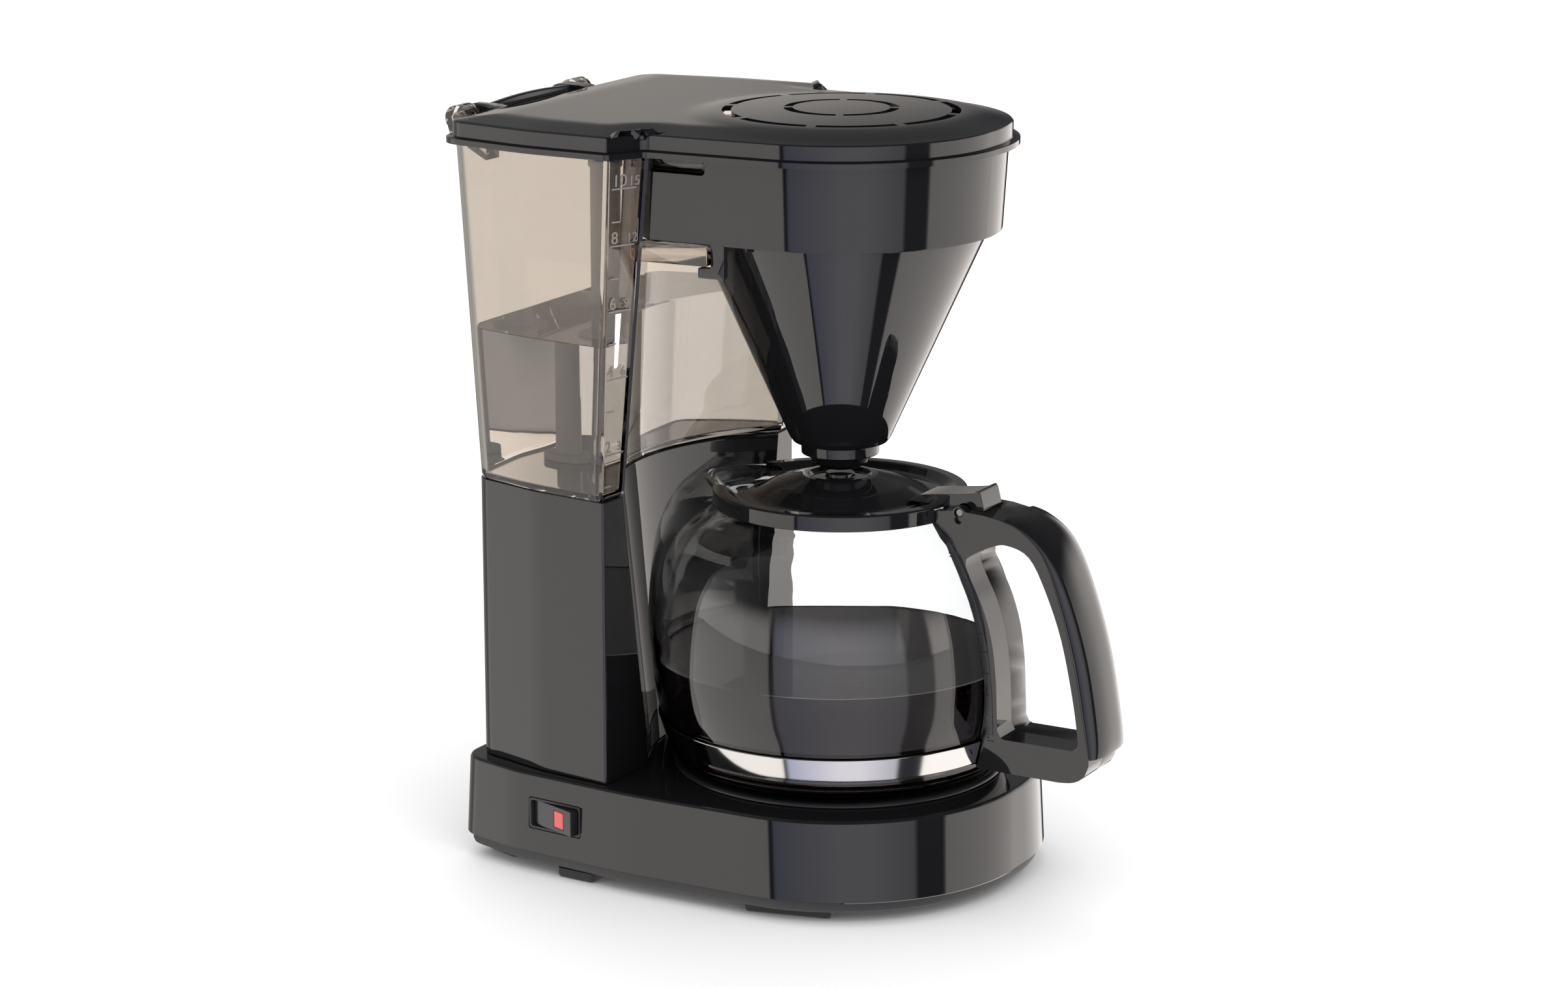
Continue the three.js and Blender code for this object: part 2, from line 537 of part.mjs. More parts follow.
function makeCarafe() {
  const spoutOut = loft([spoutRing(34, 148.5, 22, 8), spoutRing(46, 148.7, 15, 6.6), spoutRing(56, 149.2, 7.5, 4.2)]);
  const spoutIn = loft([spoutRing(30, 150.3, 22, 8), spoutRing(46, 150.5, 13.2, 6.4), spoutRing(60, 151, 5.6, 4)]);
  const inside = turned([[43.7, 150], ...GLASS_IN.slice(1), [0, 150]], GLASS_ROUND);
  part("carafe_glass", cut(join(turned([...GLASS_OUT, [0, 148.5]], GLASS_ROUND), spoutOut), inside, spoutIn), "glass");
  part("carafe_band", turned([[67.2, 52.4], [68, 52.4], [70.5, 61.2], [69.8, 61.2]], GLASS_ROUND), "steel");
  makeHandle();
  makeCarafeLid();
}

function makeHandle() {
  const grip = smooth([[-72, 148.2], [-82.2, 144.8], [-91.7, 136], [-98.6, 119.4], [-105.2, 96.4], [-109.9, 71.8],
    [-112.2, 60]], 16);
  const opening = [
    ...smooth([[-60, 130.6], [-70.2, 136.6], [-77.5, 138.4], [-86.3, 134.9], [-93.2, 123], [-100.2, 104.6],
      [-105.4, 81.4], [-107.6, 66]], 14),
    [-105.4, 62.6], [-76.5, 62.8],
    ...smooth([[-75, 65], [-73.8, 81.8], [-70, 106.8], [-64.4, 124.6]], 6),
  ];
  const outer = [
    [-40, 141], [-44.1, 145.8], [-45.3, 147.9], [-54, 148.8], [-54.9, 150.2], [-57, 151.2], [-59.1, 150.2], [-60, 149],
    [-67.5, 148.8], ...grip,
    [-110.6, 54.4], [-106, 50.6], [-100, 49.5], [-66, 50], [-60, 62], [-55, 118],
  ];
  const neck = [...GLASS_OUT.slice(1, -3).map(([r, z]) => [r + 0.4, z]), [47.4, 144]];
  const body = turned([[0, 42], ...neck, [47.4, 156], [0, 156]], GLASS_ROUND);
  const ring = turned([[0, 51], [68.4, 52], [71, 61.6], [0, 61.6]], GLASS_ROUND);
  const slot = block([-8.3, -65.9, 143.6], [8.3, -44, 158]);
  part("carafe_handle", cut(
    sideways(outer, -HANDLE_HALF, HANDLE_HALF),
    sideways(opening, -HANDLE_HALF - 1, HANDLE_HALF + 1),
    body, ring, slot,
    axle(LID_PIN.r + GAP, -30, 30, LID_PIN.y, LID_PIN.z),
    new THREE.CylinderGeometry(2, 2, 30, 12).translate(0, -75, 56.4),
    new THREE.CylinderGeometry(4.2, 4.2, 50, 16).translate(0, -104.3, 56.4),
  ), "black_gloss");
  part("carafe_handle_screw", join(
    new THREE.CylinderGeometry(1.7, 1.7, 8, 10).translate(0, -75.6, 56.4),
    new THREE.CylinderGeometry(3.8, 3.8, 2.2, 14).translate(0, -80.5, 56.4),
  ), "steel");
  part("grip_cover", loft(gripRings(grip.slice(1))), "black_gloss");
}

/** D sections of the grip's outer shell, swelling from the top to the palm and closing at the tip. */
function gripRings(line) {
  const sides = 8;
  return line.map(([y, z], i) => {
    const [ay, az] = line[Math.max(0, i - 1)];
    const [by, bz] = line[Math.min(line.length - 1, i + 1)];
    const length = Math.hypot(by - ay, bz - az);
    const [ny, nz] = [(bz - az) / length, -(by - ay) / length];
    const t = i / (line.length - 1);
    const swell = 1.6 + 4.9 * Math.sin(Math.PI * (0.7 * t + 0.1 * t ** 6));
    return Array.from({ length: sides + 1 }, (_, k) => {
      const a = (Math.PI * k) / sides;
      const out = 0.35 + swell * Math.sin(a);
      return new THREE.Vector3((HANDLE_HALF + 0.4) * Math.cos(a), y + ny * out, z + nz * out);
    });
  });
}

function makeCarafeLid() {
  const { y, z, r } = LID_PIN;
  const dish = turned([
    [0, 151.6], [12, 152], [27.5, 148.4], [35, 145.6], [41.6, 145.6], [42.8, 149],
    [47.4, 149], [47.4, 143.7], [49.2, 143.7], [49, 149.9], [43, 149.9], [40.6, 147.6], [36, 147.5],
    [28, 150.6], [20, 153.6], [12.4, 155], [10, 153.6], [5.6, 153.6], [5.4, 155.4], [0, 155.5],
  ], 24);
  const lever = sideways([[-32, 149.4], [-34, 150.3], [-37.2, 152.2], [-49.5, 153.8], [-61.2, 155.4], [-62.2, 156.7],
    [-63.4, 155.9], [-64.9, 150.5], [-64.9, 147.6], [-61, 146.2], [-52, 146.2], [-48.2, 147.6], [-47.9, 149.4]], -7.7, 7.7);
  const boss = join(axle(3.2, -7.7, 7.7, y, z), block([-7.7, y, z - 2], [7.7, y + 6, z + 3]));
  part("carafe_lid", cut(
    join(cut(dish, block([-21, 33, 140], [21, 60, 160]), block([-13.4, -60, 140], [13.4, -44, 148.9])),
      lever, boss),
    axle(r + GAP, -30, 30, y, z),
  ), "black_gloss");
  part("carafe_lid_pin", axle(r, -HANDLE_HALF, HANDLE_HALF, y, z, 12), "steel");
}

// ---------------------------------------------------------------- assembly

makeBase();
makeHeater();
makeSwitch();
makeTower();
makeTank();
makeLid();
makeBasket();
makeCarafe();

export default assembly;
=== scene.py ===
"""Looks of a drip coffee maker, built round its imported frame.

Sizes are millimetres about the brew axis, the upright line through the filter and the carafe:
+X to the machine's right, -Y towards the carafe handle, +Z up. spot() turns them into the
metres of the row frame, and the frame's own nodes give the main levels.
"""

import logging
import math
from dataclasses import dataclass
from enum import Enum
from typing import Sequence

import bmesh
import bpy
from mathutils import Matrix, Vector


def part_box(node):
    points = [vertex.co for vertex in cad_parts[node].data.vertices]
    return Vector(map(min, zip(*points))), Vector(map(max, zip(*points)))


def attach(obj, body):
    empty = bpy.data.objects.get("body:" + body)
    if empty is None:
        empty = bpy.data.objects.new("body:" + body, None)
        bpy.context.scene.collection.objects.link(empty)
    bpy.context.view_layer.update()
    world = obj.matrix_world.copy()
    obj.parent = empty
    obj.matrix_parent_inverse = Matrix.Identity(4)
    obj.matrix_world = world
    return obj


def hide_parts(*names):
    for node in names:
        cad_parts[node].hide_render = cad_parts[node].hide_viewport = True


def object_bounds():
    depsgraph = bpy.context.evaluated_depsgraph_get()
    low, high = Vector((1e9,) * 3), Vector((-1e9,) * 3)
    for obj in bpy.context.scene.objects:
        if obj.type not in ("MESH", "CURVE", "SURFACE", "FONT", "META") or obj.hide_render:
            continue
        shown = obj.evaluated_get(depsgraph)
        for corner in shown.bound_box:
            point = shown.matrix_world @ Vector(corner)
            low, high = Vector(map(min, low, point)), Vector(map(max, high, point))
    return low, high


logging.basicConfig(level=logging.INFO, format="%(message)s")
log = logging.getLogger("coffee_maker")

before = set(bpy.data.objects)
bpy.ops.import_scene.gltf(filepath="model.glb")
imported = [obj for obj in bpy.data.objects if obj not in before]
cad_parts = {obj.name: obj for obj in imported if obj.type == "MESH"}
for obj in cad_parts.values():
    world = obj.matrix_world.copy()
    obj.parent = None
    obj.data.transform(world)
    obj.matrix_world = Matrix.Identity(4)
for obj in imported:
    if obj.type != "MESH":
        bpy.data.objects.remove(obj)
cad_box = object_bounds()

MM = 0.001
AXIS_Y = (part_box("warming_plate")[0].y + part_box("warming_plate")[1].y) / 2
Point = tuple[float, float]
Corner = tuple[float, float, float, int]
Loop = list[Vector]


def top(node: str) -> float:
    """Highest level of a CAD node, in millimetres."""
    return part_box(node)[1].z / MM


def low(node: str) -> float:
    """Lowest level of a CAD node, in millimetres."""
    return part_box(node)[0].z / MM


def spot(x: float, y: float, z: float) -> Vector:
    """A point about the brew axis, in the row frame's metres."""
    return Vector((x * MM, y * MM + AXIS_Y, z * MM))


BASE_LOW, BASE_TOP = low("base_shell"), top("base_shell")
TOWER_LOW, TOWER_TOP = low("tower_shell"), top("tower_shell")
TANK_LOW = TOWER_TOP + 0.3
BRIM_LOW = low("lid")
TANK_TOP = BRIM_LOW - 0.3
LID_TOP = top("lid")
BAND_LOW = 251.0
WALL = 2.2
BAY_LOW_R, BAY_HIGH_R, BAY_FOOT_R = 86.0, 80.0, 74.4
LAND_Y = 60.6
HINGE_Y, HINGE_Z, EYE_X, EYE_R = 142.5, 287.5, 40.7, 5.0
WATER_LEVEL = 212.0
COFFEE_LEVEL = 84.6
JUG_PIN = (-57.0, 148.6, 1.5)


class Body(Enum):
    """The moving groups that pieces ride on."""

    BASE = "base"
    LID = "lid"
    BASKET = "basket"
    VALVE = "valve"
    ROCKER = "rocker"
    CARAFE = "carafe"
    CARAFE_LID = "carafe_lid"


# ---------------------------------------------------------------- outlines


def mirrored(half: Sequence[Corner]) -> list[Corner]:
    """Adds the left half to the corners of a right half.

    Args:
        half: corners (x, y, radius, steps) from front to back.

    Returns:
        The corners of the whole outline.
    """
    return [*half, *[(-x, y, r, n) for x, y, r, n in reversed(half) if x > 0]]


def inset(corners: Sequence[Corner], by: float) -> list[Corner]:
    """Moves each edge of an outline inwards, keeping the centres of its arcs.

    Args:
        corners: the outline's corners, anticlockwise.
        by: how far, in millimetres.

    Returns:
        The corners of the moved outline.
    """
    def edge(i: int) -> tuple[float, float, float]:
        """The moved line of an edge: its normal and its distance."""
        (ax, ay, *_), (bx, by_, *_) = corners[i], corners[(i + 1) % len(corners)]
        length = math.hypot(bx - ax, by_ - ay)
        nx, ny = -(by_ - ay) / length, (bx - ax) / length
        return nx, ny, nx * ax + ny * ay + by

    made = []
    for i, (_, _, radius, steps) in enumerate(corners):
        ax, ay, ac = edge(i - 1 if i else len(corners) - 1)
        bx, by_, bc = edge(i)
        det = ax * by_ - ay * bx
        x, y = (ac * by_ - bc * ay) / det, (ax * bc - bx * ac) / det
        made.append((x, y, max(0.05, radius - math.copysign(by, det)), steps))
    return made


def rounded(corners: Sequence[Corner], closed: bool = True) -> list[Point]:
    """Turns each corner of a line into an arc.

    Args:
        corners: (a, b, radius, steps) each; a radius of 0 keeps a sharp corner.
        closed: whether the line goes round; an open line keeps its ends.

    Returns:
        The points of the line.
    """
    points: list[Point] = []
    count = len(corners)
    for i, (x, y, radius, steps) in enumerate(corners):
        if radius == 0 or (not closed and i in (0, count - 1)):
            points.append((x, y))
            continue
        at = Vector((x, y))
        before = (Vector(corners[i - 1][:2]) - at).normalized()
        after = (Vector(corners[(i + 1) % count][:2]) - at).normalized()
        half = before.angle(after) / 2
        centre = at + (before + after).normalized() * radius / math.sin(half)
        arm = at + before * radius / math.tan(half) - centre
        side = before.x * after.y - before.y * after.x
        turn = -math.copysign(math.pi - 2 * half, side)
        for k in range(steps + 1):
            c, s = math.cos(turn * k / steps), math.sin(turn * k / steps)
            points.append((centre.x + arm.x * c - arm.y * s, centre.y + arm.x * s + arm.y * c))
    return points


def smooth(points: Sequence[Point], count: int) -> list[Point]:
    """Samples a smooth line through points.

    Args:
        points: what the line goes through.
        count: how many steps it is cut into.

    Returns:
        count + 1 points.
    """
    line = [points[0], *points, points[-1]]
    made = []
    for k in range(count + 1):
        at = k / count * (len(points) - 1)
        i = min(int(at), len(points) - 2)
        t = at - i
        a, b, c, d = (Vector(p) for p in line[i:i + 4])
        square, cube = 2 * a - 5 * b + 4 * c - d, 3 * b - a - 3 * c + d
        p = 0.5 * (2 * b + (c - a) * t + square * t ** 2 + cube * t ** 3)
        made.append((p.x, p.y))
    return made


def flat(points: Sequence[Point], z: float) -> Loop:
    """A level loop through (x, y) points at a height."""
    return [spot(x, y, z) for x, y in points]


def upright(points: Sequence[Point], x: float) -> Loop:
    """A loop through (y, z) points in the plane across X."""
    return [spot(x, y, z) for y, z in points]


def ease(t: float) -> float:
    """Smooth step from 0 to 1."""
    t = min(1.0, max(0.0, t))
    return t * t * (3 - 2 * t)


# ---------------------------------------------------------------- modelling by operator


def fresh() -> None:
    """Leaves edit mode and deselects everything."""
    if bpy.context.object and bpy.context.object.mode != "OBJECT":
        bpy.ops.object.mode_set(mode="OBJECT")
    bpy.ops.object.select_all(action="DESELECT")


def take(piece: bpy.types.Object) -> None:
    """Makes a piece the only one selected, and the active one."""
    fresh()
    piece.select_set(True)
    bpy.context.view_layer.objects.active = piece


class Clay:
    """A piece while it is shaped in edit mode, grown from the rim of a circle."""

    def __init__(self, name: str, start: Loop) -> None:
        """Adds a circle and lays its vertices on the first loop.

        Args:
            name: the piece's name.
            start: where its vertices go.
        """
        fresh()
        bpy.ops.mesh.primitive_circle_add(vertices=len(start), radius=MM, location=(0, 0, 0))
        self.piece = bpy.context.object
        self.piece.name = self.piece.data.name = name
        bpy.ops.object.mode_set(mode="EDIT")
        self.rim = list(range(len(start)))
        self._lay(start)

    def _mesh(self) -> bmesh.types.BMesh:
        """The mesh in edit mode, its vertices numbered."""
        mesh = bmesh.from_edit_mesh(self.piece.data)
        mesh.verts.index_update()
        mesh.verts.ensure_lookup_table()
        return mesh

    def _lay(self, points: Loop) -> None:
        """Puts the rim's vertices on points."""
        mesh = self._mesh()
        for index, point in zip(self.rim, points, strict=True):
            mesh.verts[index].co = point
        bmesh.update_edit_mesh(self.piece.data)

    def _grip(self) -> None:
        """Selects the rim's edges and nothing else."""
        bpy.ops.mesh.select_mode(type="EDGE")
        bpy.ops.mesh.select_all(action="DESELECT")
        mesh = self._mesh()
        verts = [mesh.verts[i] for i in self.rim]
        for a, b in zip(verts, verts[1:] + verts[:1]):
            edge = mesh.edges.get((a, b))
            if edge:
                edge.select_set(True)
        mesh.select_flush_mode()
        bmesh.update_edit_mesh(self.piece.data)

    def pull(self, *loops: Loop) -> "Clay":
        """Extrudes the rim to each loop in turn.

        Args:
            loops: loops with as many points as the rim.

        Returns:
            The clay itself.
        """
        for points in loops:
            self._grip()
            bpy.ops.mesh.extrude_edges_indiv()
            mesh = self._mesh()
            held = set(self.rim)
            twin = {}
            for vert in mesh.verts:
                if not vert.select or vert.index in held:
                    continue
                for edge in vert.link_edges:
                    other = edge.other_vert(vert).index
                    if other in held:
                        twin[other] = vert.index
            self.rim = [twin[i] for i in self.rim]
            self._lay(points)
        return self

    def cap(self) -> "Clay":
        """Closes the rim with one face."""
        self._grip()
        bpy.ops.mesh.edge_face_add()
        return self

    def hole(self, loop: Loop) -> "Clay":
        """Adds another loop, for an opening in the face that fill() makes.

        Args:
            loop: the opening's points.

        Returns:
            The clay itself.
        """
        bpy.ops.mesh.select_all(action="DESELECT")
        first = len(self._mesh().verts)
        bpy.ops.mesh.primitive_circle_add(vertices=len(loop), radius=MM, location=(0, 0, 0))
        self.rim = list(range(first, first + len(loop)))
        self._lay(loop)
        return self

    def fill(self, push: Vector) -> "Clay":
        """Fills between all loops and extrudes the face.

        Args:
            push: the way and distance of the extrusion, in metres.

        Returns:
            The clay itself.
        """
        bpy.ops.mesh.select_all(action="SELECT")
        bpy.ops.mesh.fill(use_beauty=True)
        bpy.ops.mesh.select_all(action="SELECT")
        bpy.ops.mesh.extrude_region_move(TRANSFORM_OT_translate={"value": push})
        return self

    def spin(self, centre: Vector, axis: Point | tuple, steps: int, closed: bool) -> "Clay":
        """Turns the first loop about an axis.

        Args:
            centre: a point of the axis.
            axis: its direction.
            steps: facets round the turn.
            closed: whether the loop's ends meet off the axis.

        Returns:
            The clay itself.
        """
        if not closed:
            bpy.ops.mesh.select_all(action="DESELECT")
            mesh = self._mesh()
            mesh.edges.get((mesh.verts[self.rim[-1]], mesh.verts[self.rim[0]])).select_set(True)
            bmesh.update_edit_mesh(self.piece.data)
            bpy.ops.mesh.delete(type="EDGE")
        bpy.ops.mesh.select_all(action="SELECT")
        bpy.ops.mesh.spin(steps=steps, angle=math.tau, center=centre, axis=axis)
        return self

    def cut_sectors(self, start: float, end: float, slots: int, gap: int, count: int) -> None:
        """Deletes the faces of curved slots from a skin that runs in rings round the brew axis.

        Args:
            start: inner radius of the slots.
            end: outer radius.
            slots: how many go round.
            gap: divisions left between two slots.
            count: divisions round the rings.
        """
        bpy.ops.mesh.select_mode(type="FACE")
        bpy.ops.mesh.select_all(action="DESELECT")
        mesh = self._mesh()
        pitch = count // slots
        for face in mesh.faces:
            middle = face.calc_center_median()
            x, y = middle.x / MM, (middle.y - AXIS_Y) / MM
            turn = int(((math.atan2(y, x) + math.pi / 2) % math.tau) / math.tau * count)
            if start < math.hypot(x, y) < end and gap <= (turn - pitch // 4) % pitch:
                face.select_set(True)
        bmesh.update_edit_mesh(self.piece.data)
        bpy.ops.mesh.delete(type="FACE")

    def done(self) -> bpy.types.Object:
        """Merges doubles, faces everything outwards and leaves edit mode."""
        bpy.ops.mesh.select_mode(type="VERT")
        bpy.ops.mesh.select_all(action="SELECT")
        bpy.ops.mesh.remove_doubles(threshold=2e-7)
        bpy.ops.mesh.normals_make_consistent(inside=False)
        bpy.ops.object.mode_set(mode="OBJECT")
        return self.piece


def modify(piece: bpy.types.Object, kind: str, **settings: object) -> bpy.types.Object:
    """Adds a modifier and applies it.

    Args:
        piece: what it works on.
        kind: the modifier's type.
        settings: its settings.

    Returns:
        The piece.
    """
    take(piece)
    bpy.ops.object.modifier_add(type=kind)
    modifier = piece.modifiers[-1]
    for key, value in settings.items():
        setattr(modifier, key, value)
    bpy.ops.object.modifier_apply(modifier=modifier.name)
    return piece


def carve(piece: bpy.types.Object, *tools: bpy.types.Object, add: bool = False) -> bpy.types.Object:
    """Cuts tools out of a piece, or joins them to it, and removes them.

    Args:
        piece: what is cut.
        tools: closed shapes.
        add: whether they are joined on.

    Returns:
        The piece.
    """
    for tool in tools:
        modify(piece, "BOOLEAN", object=tool, operation="UNION" if add else "DIFFERENCE", solver="EXACT")
        bpy.data.objects.remove(tool, do_unlink=True)
    return piece


def soften(piece: bpy.types.Object, width: float, segments: int = 3, angle: float = 32) -> bpy.types.Object:
    """Rounds the edges of a piece and shades it smooth.

    Args:
        piece: what is rounded.
        width: the rounding's width in millimetres; 0 leaves the edges alone.
        segments: facets across each edge.
        angle: edges that turn more than this, in degrees, are rounded.

    Returns:
        The piece.
    """
    if width:
        modify(piece, "BEVEL", width=width * MM, segments=segments, limit_method="ANGLE",
               angle_limit=math.radians(angle), miter_outer="MITER_ARC")
    take(piece)
    bpy.ops.object.shade_smooth_by_angle(angle=math.radians(max(angle, 30)))
    return modify(piece, "WEIGHTED_NORMAL", keep_sharp=True)


def copied(piece: bpy.types.Object, name: str, matrix: Matrix) -> bpy.types.Object:
    """Copies a piece with its own mesh and moves the copy's mesh.

    Args:
        piece: what is copied.
        name: the copy's name.
        matrix: where it goes; a mirror is turned right side out again.

    Returns:
        The copy.
    """
    take(piece)
    bpy.ops.object.duplicate()
    copy = bpy.context.object
    copy.name = copy.data.name = name
    copy.data.transform(matrix)
    if matrix.determinant() < 0:
        copy.data.flip_normals()
    return copy


def other_side(piece: bpy.types.Object, name: str) -> bpy.types.Object:
    """A copy of a piece mirrored to the other side of the machine."""
    return copied(piece, name, Matrix.Scale(-1, 4, (1, 0, 0)))


def joined(name: str, *pieces: bpy.types.Object) -> bpy.types.Object:
    """Joins pieces into the first one, under a name.

    Args:
        name: the name of the whole.
        pieces: what is joined.

    Returns:
        The joined piece.
    """
    take(pieces[0])
    for piece in pieces[1:]:
        piece.select_set(True)
    bpy.ops.object.join()
    pieces[0].name = pieces[0].data.name = name
    return pieces[0]


def lathe(name: str, profile: Sequence[Corner], x: float = 0, y: float = 0, closed: bool = False,
          steps: int = 96) -> bpy.types.Object:
    """A shape turned about an upright axis.

    Args:
        name: its name.
        profile: corners (radius, z, rounding, steps); an open profile starts and ends on the axis.
        x: where the axis stands.
        y: where the axis stands.
        closed: whether the profile goes round.
        steps: facets round the turn.

    Returns:
        The piece.
    """
    points = rounded(profile, closed)
    clay = Clay(name, [spot(x + r, y, z) for r, z in points])
    return clay.spin(spot(x, y, 0), (0, 0, 1), steps, closed).done()


def axle(name: str, radius: float, x0: float, x1: float, y: float, z: float, edge: float = 0.3,
         steps: int = 40) -> bpy.types.Object:
    """A pin along X with rounded ends.

    Args:
        name: its name.
        radius: its radius.
        x0: one end.
        x1: the other end.
        y: where it lies.
        z: where it lies.
        edge: rounding of its ends.
        steps: facets round it.

    Returns:
        The piece.
    """
    points = rounded([(x0, 0, 0, 1), (x0, radius, edge, 4), (x1, radius, edge, 4), (x1, 0, 0, 1)], False)
    clay = Clay(name, [spot(x, y, z + r) for x, r in points])
    return clay.spin(spot(0, y, z), (1, 0, 0), steps, False).done()


def sideways(name: str, outline: Sequence[Point], x0: float, x1: float,
             *holes: Sequence[Point]) -> bpy.types.Object:
    """A (y, z) outline extruded along X.

    Args:
        name: its name.
        outline: its points.
        x0: where it starts.
        x1: where it ends.
        holes: outlines of its openings.

    Returns:
        The piece.
    """
    clay = Clay(name, upright(outline, x0))
    for hole in holes:
        clay.hole(upright(hole, x0))
    return clay.fill(Vector(((x1 - x0) * MM, 0, 0))).done()


def slab(name: str, outline: Sequence[Point], z0: float, z1: float,
         *holes: Sequence[Point]) -> bpy.types.Object:
    """An (x, y) outline extruded upwards, with holes as in sideways().

    Args:
        name: its name.
        outline: its points.
        z0: its underside.
        z1: its top.
        holes: outlines of its openings.

    Returns:
        The piece.
    """
    clay = Clay(name, flat(outline, z0))
    for hole in holes:
        clay.hole(flat(hole, z0))
    return clay.fill(Vector((0, 0, (z1 - z0) * MM))).done()


def box(name: str, low_: tuple, high: tuple, edge: float = 0.0) -> bpy.types.Object:
    """A block between two corners about the brew axis, its upright edges rounded.

    Args:
        name: its name.
        low_: lowest corner in millimetres.
        high: highest corner in millimetres.
        edge: rounding of its four upright edges.

    Returns:
        The piece.
    """
    (x0, y0, z0), (x1, y1, z1) = low_, high
    corners = [(x0, y0, edge, 4), (x1, y0, edge, 4), (x1, y1, edge, 4), (x0, y1, edge, 4)]
    return slab(name, rounded(corners), z0, z1)


def circle(radius: float, steps: int = 96, x: float = 0, y: float = 0) -> list[Point]:
    """Points of a circle."""
    return [(x + radius * math.cos(math.tau * i / steps), y + radius * math.sin(math.tau * i / steps))
            for i in range(steps)]


# ---------------------------------------------------------------- shader nodes


class Wire:
    """A shader socket that can be used in a sum: each operator adds its Math node."""

    def __init__(self, sheet: "Sheet", socket: bpy.types.NodeSocket) -> None:
        """Keeps the socket and the sheet that its node is on."""
        self.sheet = sheet
        self.socket = socket

    def take(self, output: str) -> "Wire":
        """Another output of the same node."""
        return Wire(self.sheet, self.socket.node.outputs[output])

    def _math(self, operation: str, a: object, b: object) -> "Wire":
        """The result of a Math node on two values."""
        return self.sheet.node("Math", {"operation": operation}, {0: a, 1: b})

    def __add__(self, other: object) -> "Wire":
        """Sum."""
        return self._math("ADD", self, other)

    def __radd__(self, other: object) -> "Wire":
        """Sum, with the number first."""
        return self._math("ADD", other, self)

    def __sub__(self, other: object) -> "Wire":
        """Difference."""
        return self._math("SUBTRACT", self, other)

    def __rsub__(self, other: object) -> "Wire":
        """Difference, with the number first."""
        return self._math("SUBTRACT", other, self)

    def __mul__(self, other: object) -> "Wire":
        """Product."""
        return self._math("MULTIPLY", self, other)

    def __rmul__(self, other: object) -> "Wire":
        """Product, with the number first."""
        return self._math("MULTIPLY", other, self)

    def above(self, limit: float) -> "Wire":
        """1 where the value is above a limit, else 0."""
        return self._math("GREATER_THAN", self, limit)


class Sheet:
    """A node tree being written."""

    def __init__(self, tree: bpy.types.NodeTree) -> None:
        """Empties the tree."""
        self.tree = tree
        tree.nodes.clear()

    def node(self, kind: str, settings: dict | None = None,
             values: dict | None = None) -> Wire | bpy.types.Node:
        """Adds a node.

        Args:
            kind: its type without the ShaderNode prefix.
            settings: its own settings, set first; stops are a colour ramp's positions and colours.
            values: socket values or wires, by name or number.

        Returns:
            Its first output, or the node itself where it has none.
        """
        made = self.tree.nodes.new("ShaderNode" + kind)
        for key, value in (settings or {}).items():
            if key == "stops":
                ramp = made.color_ramp
                while len(ramp.elements) < len(value):
                    ramp.elements.new(1.0)
                for element, (place, colour) in zip(ramp.elements, value):
                    element.position = place
                    element.color = (*colour, 1.0) if isinstance(colour, tuple) else (colour,) * 3 + (1.0,)
            else:
                setattr(made, key, value)
        for key, value in (values or {}).items():
            if isinstance(value, Wire):
                self.tree.links.new(value.socket, made.inputs[key])
            else:
                made.inputs[key].default_value = value
        return Wire(self, made.outputs[0]) if made.outputs else made

    def place(self, scale: Sequence[float] = (1, 1, 1)) -> Wire:
        """Object coordinates, stretched by a scale."""
        coordinates = self.node("TexCoord").take("Object")
        return self.node("Mapping", {}, {"Vector": coordinates, "Scale": tuple(scale)})

    def noise(self, scale: float, detail: float = 3, stretch: Sequence[float] = (1, 1, 1)) -> Wire:
        """Noise on Object coordinates; scale counts its cells to the metre."""
        return self.node("TexNoise", {}, {"Vector": self.place(stretch), "Scale": scale, "Detail": detail})

    def blend(self, share: object, a: tuple, b: tuple) -> Wire:
        """A colour between two."""
        made = self.node("Mix", {"data_type": "RGBA"}, {0: share, 6: (*a, 1), 7: (*b, 1)})
        return Wire(self, made.socket.node.outputs[2])


